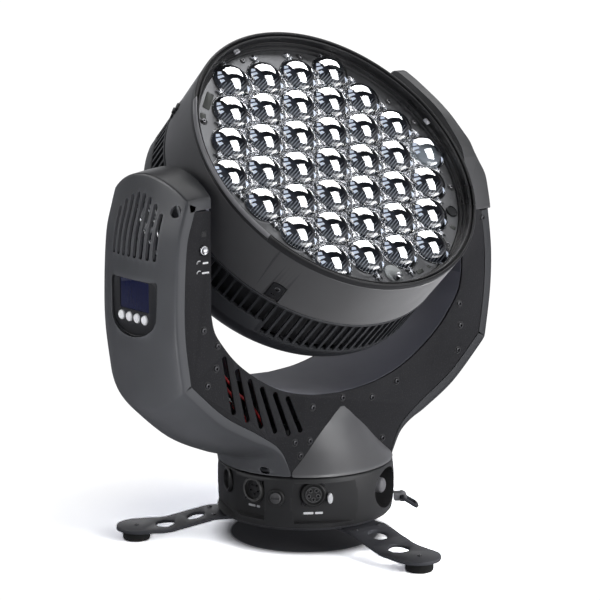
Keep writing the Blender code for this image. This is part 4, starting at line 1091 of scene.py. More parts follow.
SHOULDER_TOP = [(-55.7, 336), (-52, 345.5), (-44, 355.5), (-34, 366), (-22.6, 377), (-8, 387), (8, 396), (25, 405), (40, 412)]
SHOULDER_END = [(40, 412), (46, 413.2), (51, 411.5), (54.6, 407), (55.7, 401)]
# Outer face from the seam up: x, z and how far its middle bulges, in mm
SHOULDER_FACE = [
    (193.9, 283, 10),
    (190.5, 300, 10),
    (185.5, 318, 10),
    (175.0, 334, 14),
    (168.6, 346, 17.5),
    (166.4, 358, 8),
    (166.2, 370, 3),
    (166.4, 385, 0.5),
    (168.0, 420, 0.5),
]


def shoulder_volume(inset):
    """Raised right shoulder; with an inset, in mm, its hollow, open at the seam."""
    floor = SEAM_Z - (30 if inset else 0)
    edge = ARM_DEPTH / MM - inset
    top = catmull(SHOULDER_TOP, 5)[:-1] + catmull(SHOULDER_END, 4)
    side = [(-edge, floor)]
    side += [(max(-edge, min(edge, y * (1 - inset / 56))), z - inset * 1.05) for y, z in top]
    side += [(edge, floor)]
    bm = bmesh.new()
    plate(bm, [(y * MM, z * MM) for y, z in side], (157.0 + inset) * MM, 230 * MM, "X")
    body = to_object(bm, "right_shoulder_shell" if not inset else "cutter")
    bm = bmesh.new()
    rings = []
    for x, z, swell in catmull(SHOULDER_FACE, 4):
        z = z if z > SEAM_Z + 0.01 else floor - 3
        ring = [bm.verts.new(Vector((140, y, z)) * MM) for y in (60, -60)]
        for j in range(33):
            y = 60 * (2 * j / 32 - 1)
            ring.append(bm.verts.new(Vector((x - inset + swell * bulge(y), y, z)) * MM))
        rings.append(ring)
    skin(bm, rings)
    bm.faces.new(rings[0])
    bm.faces.new(rings[-1])
    return boolean(body, [to_object(bm, "cutter")], "INTERSECT")


def arm_arch(margin):
    half = ARM_DEPTH - 3.0 * MM + margin
    arch = [(half * (1 - i / 16), (325.4 + 21.6 * bulge(half / MM * (1 - i / 16))) * MM + margin) for i in range(33)]
    return arch + [(-half, 214 * MM), (half, 214 * MM)]


def build_right_shoulder():
    shell = shoulder_volume(0)
    bevel(shell, 1.6 * MM, 4, 40)
    hollow = shoulder_volume(2.6)
    boolean(shell, [hollow, tool(lambda b: plate(b, arm_arch(0.5 * MM), 150 * MM, 165 * MM, "X"))])
    show(shell, SHOULDER, "yoke", ("right_shoulder_cover",), None)


OPENING = [(156.5, 317), (156.5, 222), (153.5, 207), (147, 195.5), (131, 176), (112, 160), (89, 145.5), (64.7, 135), (33, 127.7), (0, 125.4)]


def opening_line(offset):
    """Left half of the opening between the arms, from the top down, grown outwards by an offset, in mm."""
    curve = [(156.5, 317.0)] + catmull(OPENING[1:], 6)
    points = [(-x, z) for x, z in curve]
    lined = [(x - nx * offset, z - nz * offset) for (x, z), (nx, nz) in zip(points, normals_of(points))]
    lined[-1] = (0.0, lined[-1][1])
    return lined


def mirrored(points):
    return [(-x, z) for x, z in reversed(points) if abs(x) > 1e-6]


def build_trough():
    """Lining of the opening and the inner walls that carry the tilt shafts."""
    half = ARM_DEPTH - 3.1 * MM
    bm = bmesh.new()
    inner, outer = opening_line(0), opening_line(3)
    loop = inner + mirrored(inner) + list(reversed(outer + mirrored(outer)))
    plate(bm, [(x * MM, z * MM) for x, z in loop], -half, half, "Y")
    frame_piece = to_object(bm, "yoke_trough", 30)
    for side in (-1, 1):
        x = sorted((side * 156.5 * MM, side * 160 * MM))
        boolean(frame_piece, [tool(lambda b: plate(b, arm_arch(-0.4 * MM), *x, "X"))], "UNION")
    turn = Matrix.Rotation(math.radians(90), 4, "Y")
    reach = 170 * MM
    hole = tool(lambda b: lathe(b, [(0, -reach), (18.4 * MM, -reach), (18.4 * MM, reach), (0, reach)], 64, turn, closed=False))
    hole.data.transform(Matrix.Translation((0, 0, TILT_Z)))
    boolean(frame_piece, [hole])
    show(frame_piece, TROUGH, "yoke", ("yoke_frame",), None)
    bm = bmesh.new()
    for y in (-47.5 * MM, 47.5 * MM):
        plate(bm, [(-36 * MM, 56.6 * MM), (36 * MM, 56.6 * MM), (36 * MM, 124 * MM), (-36 * MM, 124 * MM)], y - 1.5 * MM, y + 1.5 * MM, "Y")
    show(bevel(to_object(bm, "yoke_webs"), 0.4 * MM, 2), CAST, "yoke", (), None)
    # Round covers over the tilt shafts
    bm = bmesh.new()
    for side in (-1, 1):
        turn = Matrix.Translation((0, 0, TILT_Z)) @ Matrix.Rotation(math.radians(90), 4, "Y")
        ring = [(18.6, 155.0), (18.6, 160), (23, 160), (24, 156.2), (23, 155.0)]
        lathe(bm, [(r * MM, side * z * MM) for r, z in ring], 64, turn)
    show(to_object(bm, "shaft_collars"), DARK, "yoke", (), None)


PLATE_SLOTS = [
    (-142.9, 180.8, -131.3, 123.9),
    (-127.9, 166.9, -115.1, 114),
    (-113.3, 155, -98.7, 105.6),
    (-98.9, 145.5, -81.8, 98),
    (-83.4, 137.9, -65.3, 93.1),
    (-68.2, 131.3, -50.7, 93.8),
]
TILT_LOCK_PLACE = (-165.3, 281.7)
PLATE_SCREWS = [
    (-166, 208), (-150, 191.5), (-152, 170.6), (-162, 156), (-36.7, 115.8), (-58.7, 85), (-40.6, 83.6),
    (0.5, 119.5), (38, 114), (70, 125), (-52, 71), (52, 71), (152, 144), (155, 169), (153, 191), (183, 274),
]


def rim_line():
    """Inner edge of the left rim strip, from the top down, in mm."""
    rows = stations([ARM_TOP, ARM_SIDE, ARM_BOWL])
    points = [(-r[0], r[1]) for r in rows]
    line = []
    for (x, z), (nx, nz), row in zip(points, normals_of(points), rows):
        inset = row[4] + 0.45
        point = (x + nx * inset, z + nz * inset)
        if not line or point[1] < line[-1][1] - 0.25:
            line.append(point)
    return line


def plate_outline():
    rim = [p for p in rim_line() if p[1] < 316.5 and p[0] < -156.9 or p[1] < 200]
    opening = [(-156.9, 316.5)] + [p for p in opening_line(0.4) if p[1] < 316]
    seam = SEAM_Z - 0.5
    right_opening = [(-x, z) for x, z in reversed(opening) if abs(x) > 1e-6 and z < seam - 2]
    right_rim = [(-x, z) for x, z in rim if z < seam - 2]
    outline = opening + right_opening + [(156.9, seam), (station_at(SEAM_Z)[0] - 10.2, seam)]
    outline += right_rim + list(reversed(rim)) + [(rim[0][0] + 0.6, 317.6)]
    return outline


def slanted_slot(b, x0, z0, x1, z1):
    lean = math.atan2(z1 - z0, x1 - x0)
    outline = []
    for u, v in rounded(math.hypot(x1 - x0, z1 - z0), 5.4, 2.6, steps=6):
        x = (x0 + x1) / 2 + u * math.cos(lean) - v * math.sin(lean)
        z = (z0 + z1) / 2 + u * math.sin(lean) + v * math.cos(lean)
        outline.append((x * MM, z * MM))
    plate(b, outline, -80 * MM, 80 * MM, "Y")


def build_plates():
    outline = [(x * MM, z * MM) for x, z in plate_outline()]
    low, high = ARM_DEPTH - 2.6 * MM, ARM_DEPTH - 0.35 * MM
    lock_x, lock_z = (v * MM for v in TILT_LOCK_PLACE)

    def slots(b):
        for slot in PLATE_SLOTS:
            slanted_slot(b, *slot)

    for name, node, side in (("front_plate_textured", "yoke_front_plate", -1), ("rear_plate_textured", "yoke_rear_plate", 1)):
        bm = bmesh.new()
        plate(bm, outline, *sorted((side * low, side * high)), "Y")
        piece = to_object(bm, name)
        cutters = [tool(slots)]
        if side < 0:
            cutters.append(tool(lambda b: plate(b, oval(4.9 * MM, 4.9 * MM, (lock_x, lock_z)), -80 * MM, 80 * MM, "Y")))
        boolean(piece, cutters)
        bevel(piece, 0.45 * MM, 2, 60)
        show(piece, TEXTURED, "yoke", (node,), None)
    bm = bmesh.new()
    bumps = bmesh.new()
    for x, z in PLATE_SCREWS:
        for side in (-1, 1):
            if side > 0 and x == 183:
                continue
            place = Matrix.Translation((x * MM, side * high, z * MM)) @ Matrix.Rotation(math.radians(90 * side * -1), 4, "X")
            socket_screw(bm, 2.9 * MM, 1.5 * MM, place)
            ring = [(3.0, -0.2), (3.0, 0.25), (3.7, 0.3), (4.3, -0.2)]
            lathe(bumps, [(r * MM, h * MM) for r, h in ring], 32, place)
    show(to_object(bm, "plate_socket_screws"), SCREW, "yoke", (), None)
    show(to_object(bumps, "plate_screw_seats"), DARK, "yoke", (), None)
    # Tilt lock button with plain marks round it
    bm = bmesh.new()
    place = Matrix.Translation((lock_x, -high, lock_z)) @ Matrix.Rotation(math.radians(90), 4, "X")
    profile = [(0, 1.55), (3.0, 1.6), (3.5, 1.95), (4.0, 1.9), (4.4, 1.4), (4.5, 0.6), (4.5, -8), (0, -8)]
    lathe(bm, [(r * MM, z * MM) for r, z in profile], 40, place, closed=False)
    show(to_object(bm, "tilt_lock_cap"), BRIGHT, BODY_OF["tilt_lock_button"], ("tilt_lock_button",), None)
    bm = bmesh.new()
    for z, length in ((270.0, 6.2), (261.0, 8.2)):
        plate(bm, [((lock_x + (2.6 + x) * MM), (z * MM + y)) for x, y in rounded(length, 1.5 * MM, 0.4, (0, 0)) if False] or rounded(length * MM, 1.6 * MM, 0.6 * MM, (lock_x + 2.2 * MM, z * MM)), -high - 0.12 * MM, -high + 0.1 * MM, "Y")
        arc = Matrix.Translation((lock_x - 5.0 * MM, -high, z * MM)) @ Matrix.Rotation(math.radians(90), 4, "X")
        torus(bm, 2.5 * MM, 0.4 * MM, arc, math.radians(120), math.radians(60), 16, 8)
    show(to_object(bm, "tilt_lock_marks"), INK, "yoke", (), None)
    bm = bmesh.new()
    plate(bm, rounded(5.4 * MM, 4.6 * MM, 0.8 * MM, (lock_x + 0.6 * MM, 296.4 * MM)), -high - 0.12 * MM, -high + 0.1 * MM, "Y")
    arc = Matrix.Translation((lock_x + 0.6 * MM, -high, 299.0 * MM)) @ Matrix.Rotation(math.radians(90), 4, "X")
    torus(bm, 2.2 * MM, 0.45 * MM, arc, math.radians(200), math.radians(170), 16, 8)
    show(to_object(bm, "tilt_lock_sign"), DARK, "yoke", (), None)
    bm = bmesh.new()
    for points in (
        [(-152, -40, 172), (-145, -44, 158), (-137, -46, 138), (-122, -42, 114)],
        [(-146, -38, 168), (-134, -44, 150), (-119, -46, 130), (-106, -42, 106)],
        [(-133, -40, 160), (-118, -45, 140), (-100, -46, 122), (-84, -42, 100)],
    ):
        tube(bm, [Vector(p) * MM for p in points], 1.25 * MM)
    show(to_object(bm, "red_wires"), RED_WIRE, "yoke")
    bm = bmesh.new()
    for points in (
        [(-188, 22, 330), (-184, 14, 305), (-186, 2, 290), (-182, -12, 270)],
        [(-190, 2, 325), (-186, -10, 305), (-188, -22, 285), (-184, -26, 262)],
        [(-150, -36, 170), (-140, -42, 150), (-124, -44, 130), (-108, -40, 106)],
    ):
        tube(bm, [Vector(p) * MM for p in points], 1.5 * MM)
    show(to_object(bm, "silver_wires"), BRIGHT, "yoke")


NECK_PROFILE = [(55.85, 111.2), (56.3, 107), (58.3, 98.4), (62.6, 88.4), (69.8, 74.6), (77.0, 64.6), (83.3, 57.2), (85.3, 54.6), (86.0, 52.5)]


def build_neck_covers():
    """Bell halves over the neck, in front of and behind the yoke plates."""
    profile = catmull(NECK_PROFILE, 8)
    for name, node, side in (("bell_front", "neck_front_cover", -1), ("bell_rear", "neck_rear_cover", 1)):
        bm = bmesh.new()
        back = 55.8
        rings = []
        for r, z in profile:
            wide = min(62.8, math.sqrt(max(r * r - back * back, 0.04)))
            front, rear = [], []
            for j in range(49):
                x = wide * math.sin(math.pi / 2 * (j / 24 - 1))
                y = max(math.sqrt(max(r * r - x * x, 0)), back + 0.02)
                front.append(bm.verts.new((x * MM, side * y * MM, z * MM)))
                rear.append(bm.verts.new((x * MM, side * back * MM, z * MM)))
            rings.append(front + list(reversed(rear)))
        skin(bm, rings)
        bm.faces.new(rings[0])
        bm.faces.new(rings[-1])
        show(to_object(bm, name, 50), BELL, "yoke", (node,), None)


# ---------------------------------------------------------------- base

IN_ANGLE, FUSE_ANGLE, OUT_ANGLE, PAN_LOCK_ANGLE, SAFETY_ANGLE, MAINS_ANGLE = -169, -148, -124, -61, -38, 158
SOCKET_Z = 33.8


def belly(z):
    """Radius of the barrel-shaped wall at a height, both in mm."""
    return 85.4 + 2.1 * (1 - ((z - 26.85) / 24.85) ** 2)


def around(obj, degrees):
    obj.data.transform(Matrix.Rotation(math.radians(degrees), 4, "Z"))
    return obj


def scoop(left, right, low, high, back, arc_left=0.0, arc_right=0.0):
    """Recess with a flat back; its sides may bow outwards. All in mm."""
    points = []
    for i in range(13):
        t = i / 12
        points.append((left - arc_left * math.sin(math.pi * t), high - (high - low) * t))
    for i in range(13):
        t = i / 12
        points.append((right + arc_right * math.sin(math.pi * t), low + (high - low) * t))
    outline = [(y * MM, z * MM) for y, z in points]
    return tool(lambda b: plate(b, outline, back * MM, 95 * MM, "X"))


def build_base_wall():
    wall = []
    for i in range(25):
        z = 3.0 + 46.7 * i / 24
        wall.append((belly(z), z))
    profile = [(57, 2.0), (84.6, 2.0), (85.3, 2.4)] + wall + [(85.0, 50.6), (84.2, 51.1), (82.4, 51.4), (22.8, 51.4), (22.8, 48.7), (57, 48.7)]
    bm = bmesh.new()
    lathe(bm, [(r * MM, z * MM) for r, z in profile], 256)
    base = to_object(bm, "base_barrel", 30)
    cutters = [
        around(scoop(-19.0, 46.0, 7.0, 46.6, 76.5, 2.2, 0), OUT_ANGLE),
        around(scoop(-30.0, 18.6, 8.6, 47.0, 76.5, 0, 1.4), IN_ANGLE),
        around(scoop(-46.0, 31.0, 3.6, 50.4, 76.5, 0, 7.0), MAINS_ANGLE),
        around(tool(lambda b: plate(b, oval(25.5 * MM, 19.6 * MM, (-2.6 * MM, 28.4 * MM), 64), 64 * MM, 95 * MM, "X")), PAN_LOCK_ANGLE),
    ]
    boolean(base, cutters)
    show(base, BASE_BLACK, "base", ("base_housing",), None)
    bm = bmesh.new()
    profile = [(0, 0.1), (83, 0.1), (83.8, 0.5), (83.8, 1.5), (0, 1.5)]
    lathe(bm, [(r * MM, z * MM) for r, z in profile], 128, closed=False)
    show(to_object(bm, "base_plate_disc"), POWDER, "base", ("base_bottom_plate",), None)
    # Dark ring in the groove between the base and the yoke: painted shade
    bm = bmesh.new()
    lathe(bm, [(70 * MM, 51.9 * MM), (82.6 * MM, 51.9 * MM), (82.6 * MM, 52.5 * MM), (70 * MM, 52.5 * MM)], 128)
    show(to_object(bm, "turntable_shade"), DARK, "base", (), None)


def radial(bm, profile, degrees, z, steps=48, y=0.0, closed=False):
    """Turned part on an axis that points out of the base wall; profile holds (radius, distance) in mm."""
    place = Matrix.Rotation(math.radians(degrees), 4, "Z") @ Matrix.Translation((0, y * MM, z * MM))
    lathe(bm, [(r * MM, x * MM) for r, x in profile], steps, place @ Matrix.Rotation(math.radians(90), 4, "Y"), closed=closed)


def build_sockets():
    flange = [(12.6, 76.9), (12.7, 77.6), (12.5, 78.4), (11.8, 79.4), (11.2, 79.9), (10.2, 80.0), (9.5, 79.7), (9.2, 79.0)]
    for name, node, angle, floor in (("male_socket", "data_in_socket", IN_ANGLE, 70.9), ("female_socket", "data_out_socket", OUT_ANGLE, 79.3), ("mains_socket", "mains_inlet", MAINS_ANGLE, 68.9)):
        bm = bmesh.new()
        radial(bm, [(0, 58), (8.8, 58), (8.8, 76.9)] + flange + [(8.8, floor), (0, floor)], angle, SOCKET_Z)
        obj = to_object(bm, name + "_shell")
        if node == "data_out_socket":
            holes = bmesh.new()
            for i in range(5):
                a = math.radians(54 + 72 * i)
                radial(holes, [(0, 74), (1.25, 74), (1.25, 84), (0, 84)], angle, SOCKET_Z + 4.6 * math.sin(a), 16, 4.6 * math.cos(a))
            boolean(obj, [to_object(holes, "cutter")])
        show(obj, SOCKET_BLACK, "base", (node,), None)
    bm = bmesh.new()
    for i in range(5):
        a = math.radians(54 + 72 * i)
        radial(bm, [(0, 70), (0.95, 70), (0.95, 77.6), (0.5, 78.4), (0, 78.5)], IN_ANGLE, SOCKET_Z + 4.7 * math.sin(a), 16, 4.7 * math.cos(a))
    for i in range(3):
        a = math.radians(90 + 120 * i)
        radial(bm, [(0, 68), (1.3, 68), (1.3, 76), (0, 76.6)], MAINS_ANGLE, SOCKET_Z + 4 * math.sin(a), 16, 4 * math.cos(a))
    show(to_object(bm, "socket_pins"), SCREW, "base", (), None)
    bm = bmesh.new()
    for i in range(5):
        a = math.radians(54 + 72 * i)
        ring = [(1.25, 79.2), (1.3, 79.6), (1.9, 79.6), (2.0, 79.2)]
        radial(bm, ring, OUT_ANGLE, SOCKET_Z + 4.6 * math.sin(a), 20, 4.6 * math.cos(a), closed=True)
    radial(bm, [(7.0, 79.2), (7.0, 79.8), (7.5, 79.8), (7.5, 79.2)], OUT_ANGLE, SOCKET_Z, 48, closed=True)
    show(to_object(bm, "female_face_rings"), SOCKET_GREY, "base", (), None)
    bm = bmesh.new()
    for angle, y, z in ((OUT_ANGLE, 9.5, SOCKET_Z + 9.6), (OUT_ANGLE, -9.5, SOCKET_Z - 9.6), (IN_ANGLE, 9.5, SOCKET_Z + 9.6), (IN_ANGLE, -9.5, SOCKET_Z - 9.6)):
        place = Matrix.Rotation(math.radians(angle), 4, "Z") @ Matrix.Translation((76.6 * MM, y * MM, z * MM)) @ Matrix.Rotation(math.radians(90), 4, "Y")
        socket_screw(bm, 1.7 * MM, 1.3 * MM, place)
    show(to_object(bm, "socket_screws"), SCREW, "base", (), None)
    # Plain marks under the sockets instead of lettering
    bm = bmesh.new()
    for angle, z, widths in ((OUT_ANGLE, 15.0, (9.5, 7.5)), (IN_ANGLE, 17.6, (8.5, 4.0))):
        y = -sum(widths) / 2 - 0.8
        for width in widths:
            verts = plate(bm, rounded(width * MM, 2.2 * MM, 0.7 * MM, ((y + width / 2) * MM, z * MM)), 76.45 * MM, 76.75 * MM, "X")
            bmesh.ops.transform(bm, matrix=Matrix.Rotation(math.radians(angle), 4, "Z"), verts=verts)
            y += width + 1.6
    show(to_object(bm, "plain_socket_marks"), INK, "base", (), None)


def build_base_controls():
    bm = bmesh.new()
    outline = [(a, b) for a, b in oval(2.6 * MM, 5.0 * MM, (15.8 * MM, 30 * MM), 40, 2.3)]
    plate(bm, outline, 77.4 * MM, 81.6 * MM, "X")
    latch = around(bevel(to_object(bm, "latch_tab"), 0.9 * MM, 4), OUT_ANGLE)
    show(latch, WHITE, BODY_OF["data_out_latch"], ("data_out_latch",), None)
    bm = bmesh.new()
    radial(bm, [(5.6, 70), (6.1, 70), (6.1, 87.6), (8.2, 87.7), (8.5, 88.2), (8.3, 89.0), (7.6, 89.6), (6.2, 89.7), (5.6, 89.4)], FUSE_ANGLE, 32.3, closed=True)
    show(to_object(bm, "fuse_collar"), SOCKET_BLACK, "base", ("fuse_holder",), None)
    bm = bmesh.new()
    radial(bm, [(0, 74), (5.3, 74), (5.3, 90.3), (5.0, 90.9), (4.2, 91.2), (0, 91.4)], FUSE_ANGLE, 32.3)
    cap = to_object(bm, "fuse_cap_knurled", 50)
    slot = tool(lambda b: plate(b, rounded(8.4 * MM, 1.1 * MM, 0.3 * MM, (0, 32.3 * MM)), 90.5 * MM, 93 * MM, "X"))
    boolean(cap, [around(slot, FUSE_ANGLE)])
    show(cap, SOCKET_GREY, BODY_OF["fuse_cap"], ("fuse_cap",), None)
    bm = bmesh.new()
    knob = [(0, 60), (3.2, 60), (3.2, 70.5), (7.0, 70.6), (7.4, 71.2), (7.4, 79.2), (7.1, 80.4), (6.2, 81.6), (4.6, 82.6), (2.5, 83.2), (0, 83.4)]
    radial(bm, knob, PAN_LOCK_ANGLE, 29)
    show(to_object(bm, "pan_lock_dome", 50), GREY, BODY_OF["pan_lock_knob"], ("pan_lock_knob",), None)
    refine("safety_eyelet", GREY, 0.5 * MM, 2)
    refine("safety_ring", POWDER, 0.5 * MM, 3)


LEG_ANGLES = {"left": 150, "front": 270, "right": 30}


def build_legs():
    half = 22.5
    for side, degrees in LEG_ANGLES.items():
        plan = [(58, -half + 2)]
        plan += catmull([(84, -half + 1.2), (96, -half + 0.2), (120, -half), (163, -half)], 4)
        for i in range(1, 32):
            a = math.radians(-90 + 180 * i / 32)
            plan.append((163 + half * math.cos(a), half * math.sin(a)))
        plan += catmull([(163, half), (120, half), (96, half - 0.2), (84, half - 1.2)], 4)
        plan += [(58, half - 2)]
        top = [(50, -0.4), (88, -0.4)]
        bend = [(92, -0.5), (98, -1.7), (130, -9.4), (136, -10.6), (142, -11.0)]
        top += catmull(bend, 4) + [(200, -11.0)]
        bottom = [(r, z - 3.5) for r, z in reversed(top)]
        bm = bmesh.new()
        plate(bm, [(x * MM, y * MM) for x, y in plan], -60 * MM, 40 * MM)
        leg = to_object(bm, f"leg_{side}_plate")
        slab = tool(lambda b: plate(b, [(x * MM, z * MM) for x, z in top + bottom], -60 * MM, 60 * MM, "Y"))
        boolean(leg, [slab], "INTERSECT")

        def holes(b):
            plate(b, oval(9 * MM, 9.5 * MM, (108 * MM, 0), 48), -60 * MM, 40 * MM)
            plate(b, oval(9.5 * MM, 11 * MM, (138 * MM, 0), 48), -60 * MM, 40 * MM)

        boolean(leg, [tool(holes)])
        bevel(leg, 0.55 * MM, 2, 50)
        show(around(leg, degrees), LEG_BLACK, "base", (f"leg_{side}",), None)
        bm = bmesh.new()
        pad = [(0, -25), (11.6, -25), (12.6, -24.6), (13.3, -23.6), (13.5, -22.4), (13.3, -18.6), (13.0, -17.8), (13.0, -15.6), (12.6, -15.2), (0, -15.2)]
        lathe(bm, [(r * MM, z * MM) for r, z in pad], 64, Matrix.Translation((166 * MM, 0, 0)), closed=False)
        show(around(to_object(bm, f"foot_{side}_pad"), degrees), RUBBER, "base", (f"foot_{side}",), None)
        bm = bmesh.new()
        socket_screw(bm, 2.2 * MM, 1.0 * MM, Matrix.Translation((166 * MM, 0, -11.0 * MM)))
        socket_screw(bm, 2.4 * MM, 1.2 * MM, Matrix.Translation((92.5 * MM, 14 * MM, -0.6 * MM)))
        socket_screw(bm, 2.4 * MM, 1.2 * MM, Matrix.Translation((92.5 * MM, -14 * MM, -0.6 * MM)))
        show(around(to_object(bm, f"leg_{side}_screws"), degrees), SCREW, "base", (), None)


def build_inner_parts():
    """Finer copies of the drive, cooling and light engine parts inside."""
    for node, (material, width) in {
        "pan_shaft_pulley": (CAST, 0.5),
        "yoke_floor_plate": (CAST, 0.4),
        "pan_bearing": (BRIGHT, 0.4),
        "fan_guard": (POWDER, 0.3),
        "fan_frame": (DARK, 0.4),
        "fan_rotor": (DARK, 0.3),
        "heat_sink": (CAST, 0.3),
        "led_board": (WHITE, 0.2),
        "head_chassis": (CAST, 0.5),
        "zoom_motor": (POWDER, 0.4),
        "zoom_screw": (BRIGHT, 0.3),
        "tilt_shaft_left": (CAST, 0.4),
        "tilt_shaft_right": (CAST, 0.4),
        "tilt_ring_pulley": (CAST, 0.4),
    }.items():
        refine(node, material, width * MM, 2)
    done = {n for piece in bpy.data.objects for n in piece.get("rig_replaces", [])}
    for node in sorted(set(frame["nodes"]) - done):
        look = {"aluminium": CAST, "black_steel": POWDER, "rubber": RUBBER}.get(SLOT_OF[node], DARK)
        refine(node, look, 0.4 * MM, 2)


# ---------------------------------------------------------------- stage


def build_stage():
    bm = bmesh.new()
    size = 9.0
    corners = [(-size, -size), (size, -size), (size, size), (-size, size)]
    bm.faces.new([bm.verts.new((x, y, FLOOR_Z)) for x, y in corners])
    floor = to_object(bm, "floor", 60)
    n = Nodes("pale_floor")
    n.tree.nodes.remove(n.shader)
    cloud = n.noise(3.0)
    path = n.add("ShaderNodeLightPath")
    seen = n.add("ShaderNodeBsdfDiffuse")
    pale = n.mix(cloud, (9.0, 9.0, 9.1), (9.5, 9.5, 9.5))
    distance = n.tree.nodes.new("ShaderNodeVectorMath")
    distance.operation = "LENGTH"
    n.link(n.coordinates(), distance.inputs[0])
    # Painted contact shadow: camera rays see the floor dark within about 76 to 98 mm of the centre, under the base
    under = n.span(distance.outputs["Value"], 0.0, 1.0, 0.076, 0.098)
    n.link(n.mix(under, (0.16, 0.16, 0.17), pale), seen.inputs["Color"])
    white = n.add("ShaderNodeEmission", Color=(1, 1, 1, 1), Strength=1.05)
    fade = n.add("ShaderNodeMixShader")
    n.link(n.span(distance.outputs["Value"], 0.0, 1.0, 0.16, 0.30), fade.inputs[0])
    n.link(seen.outputs[0], fade.inputs[1])
    n.link(white.outputs[0], fade.inputs[2])
    lit = n.add("ShaderNodeBsdfDiffuse")
    n.link(n.mix(path.outputs["Is Glossy Ray"], (0.88, 0.88, 0.89), (1.2, 1.2, 1.25)), lit.inputs["Color"])
    blend = n.add("ShaderNodeMixShader")
    n.link(path.outputs["Is Camera Ray"], blend.inputs[0])
    n.link(lit.outputs[0], blend.inputs[1])
    n.link(fade.outputs[0], blend.inputs[2])
    n.link(blend.outputs[0], n.output.inputs["Surface"])
    floor.data.materials.append(n.material)


SMALL_PALE = ("menu_button_1_cap", "menu_button_2_cap", "menu_button_3_cap", "menu_button_4_cap")
LENS_PIECES = ["lens_domes", "lens_rims", "web_facets", "lens_painted_glints", "silver_lens_plate", "plate_screws"]


def softbox(name, azimuth, elevation, distance, size, mirrored, diffuse, roll=0.0, target=(0, 0, 0.3), lens=0.0, only=()):
    """Softbox seen from the object at these angles."""
    a, e = math.radians(azimuth), math.radians(elevation)
    way = Vector((math.sin(a) * math.cos(e), -math.cos(a) * math.cos(e), math.sin(e)))
    place = way.to_track_quat("Z", "Y").to_matrix() @ Matrix.Rotation(math.radians(roll), 3, "Z")
    place_lamps(name, Vector(target) + way * distance, place, size, mirrored, diffuse, lens, only)


def place_lamps(name, location, turn, size, mirrored, diffuse, lens=0.0, only=()):
    """One lamp for reflections, one for diffuse light, and one mirrored by the lens field alone."""
    for kind, radiance in (("mirrored", mirrored), ("diffuse", diffuse), ("lens", lens)):
        if not radiance:
            continue
        light = bpy.data.lights.new(f"{name}_{kind}", "AREA")
        light.shape = "RECTANGLE"
        light.size, light.size_y = size
        light.energy = radiance * math.pi * size[0] * size[1]
        obj = bpy.data.objects.new(f"{name}_{kind}", light)
        bpy.context.scene.collection.objects.link(obj)
        step = 0.03 if kind == "lens" else 0.0
        obj.location = location - turn @ Vector((0, 0, step))
        obj.rotation_euler = turn.to_euler()
        obj.visible_camera = False
        if kind == "diffuse":
            obj.visible_glossy = False
        else:
            obj.visible_diffuse = False
        pieces = LENS_PIECES if kind == "lens" else only
        if pieces:
            group = bpy.data.collections.new(f"lit_by_{name}_{kind}")
            for piece in pieces:
                group.objects.link(bpy.data.objects[piece])
            obj.light_linking.receiver_collection = group


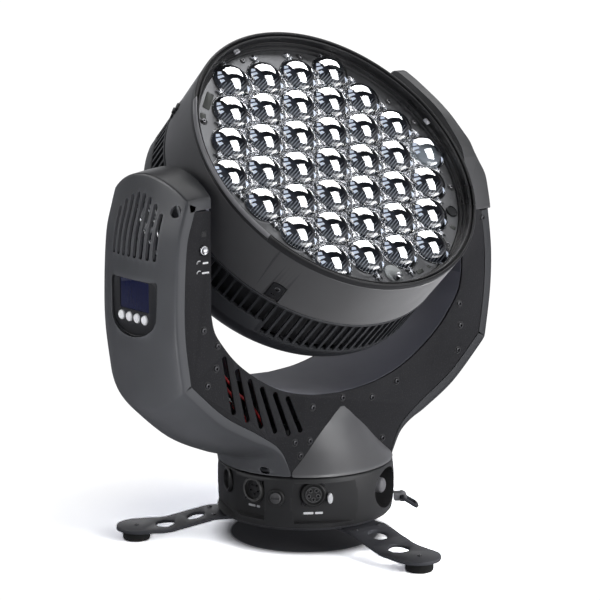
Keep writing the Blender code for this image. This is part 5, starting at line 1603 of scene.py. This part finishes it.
def build_lights():
    softbox("front_right_box", 22.4, 34.5, 4.0, (2.3, 3.3), 3.0, 2.6, -17, lens=7.5)
    place_lamps("overhead_panel", Vector((1.0, 0.52, 1.8)), Matrix.Identity(3), (1.9, 1.5), 2.5, 1.0, 7.5)
    softbox("left_box", -107, 30, 2.6, (1.9, 1.9), 3.0, 0.9)
    softbox("low_left_glow", -66, -14, 0.5, (0.3, 0.16), 10.0, 45.0, target=(-0.12, -0.04, 0.12), only=("left_arm_shell", "male_socket_shell"))
    softbox("low_front_glow", 68, -9, 1.2, (1.2, 0.28), 16.0, 42.0, only=("drum_shell", "drum_latch_plate", "drum_latch_catch"))
    softbox("bell_glow", -10, 20, 1.4, (0.5, 0.5), 12.0, 13.0, target=(0, -0.06, 0.08), only=("bell_front",))
    softbox("low_fill", 20, -9, 1.2, (1.2, 0.28), 3.0, 11.0)
    softbox("small_part_light", -95, 8, 1.4, (0.5, 0.5), 2.0, 14.0, only=SMALL_PALE)
    softbox("arm_top_light", -118, 35, 2.2, (1.2, 0.9), 7.0, 2.5, only=("left_arm_shell",))
    softbox("shoulder_light", -35, 40, 2.0, (0.8, 0.8), 5.0, 7.0, only=("right_shoulder_shell",))
    softbox("rear_left_box", -160, 33, 3.0, (1.0, 1.2), 4.0, 0.5, lens=7.0)
    softbox("rear_box", 140, 9, 3.2, (1.9, 1.1), 0.8, 0.3)
    way = Vector((math.sin(math.radians(38)), -math.cos(math.radians(38)), 0))
    turn = Matrix((way.cross(Vector((0, 0, -1))), way, (0, 0, -1))).transposed()
    place_lamps("floor_card", way * 1.5 + Vector((0, 0, -0.018)), turn, (0.7, 1.9), 0, 0, 5.0)
    world = bpy.data.worlds.new("studio")
    bpy.context.scene.world = world
    world.use_nodes = True
    tree = world.node_tree
    background = tree.nodes["Background"]
    coordinates = tree.nodes.new("ShaderNodeTexCoord")
    split = tree.nodes.new("ShaderNodeSeparateXYZ")
    tree.links.new(coordinates.outputs["Generated"], split.inputs[0])
    ramp = tree.nodes.new("ShaderNodeValToRGB")
    tree.links.new(split.outputs["Z"], ramp.inputs[0])
    stops = ramp.color_ramp.elements
    stops[0].position, stops[0].color = 0.14, (0.42, 0.43, 0.46, 1)
    stops[1].position, stops[1].color = 0.42, (0.035, 0.036, 0.042, 1)
    path = tree.nodes.new("ShaderNodeLightPath")
    mix = tree.nodes.new("ShaderNodeMix")
    mix.data_type = "RGBA"
    tree.links.new(path.outputs["Is Camera Ray"], mix.inputs["Factor"])
    tree.links.new(ramp.outputs[0], mix.inputs[6])
    mix.inputs[7].default_value = (1, 1, 1, 1)
    tree.links.new(mix.outputs[2], background.inputs["Color"])
    background.inputs["Strength"].default_value = 1.0
    bpy.context.scene.view_settings.view_transform = "Standard"


def build_camera():
    data = bpy.data.cameras.new("camera")
    data.sensor_width = 36
    data.lens = 2354.9 * 36 / 600
    camera = bpy.data.objects.new("camera", data)
    bpy.context.scene.collection.objects.link(camera)
    camera.location = (-1.4330, -1.7052, 0.6609)
    look = Vector((0.6288, 0.7514, -0.2001))
    camera.rotation_euler = look.to_track_quat("-Z", "Y").to_euler()
    bpy.context.scene.camera = camera


def main():
    build_bezel()
    build_drum()
    build_upper_catch()
    build_vents()
    build_rear_cover()
    build_lenses()
    build_lens_plate()
    build_left_arm()
    build_right_arm()
    build_right_shoulder()
    build_trough()
    build_plates()
    build_neck_covers()
    build_base_wall()
    build_sockets()
    build_base_controls()
    build_legs()
    build_inner_parts()
    build_stage()
    build_lights()
    build_camera()


main()
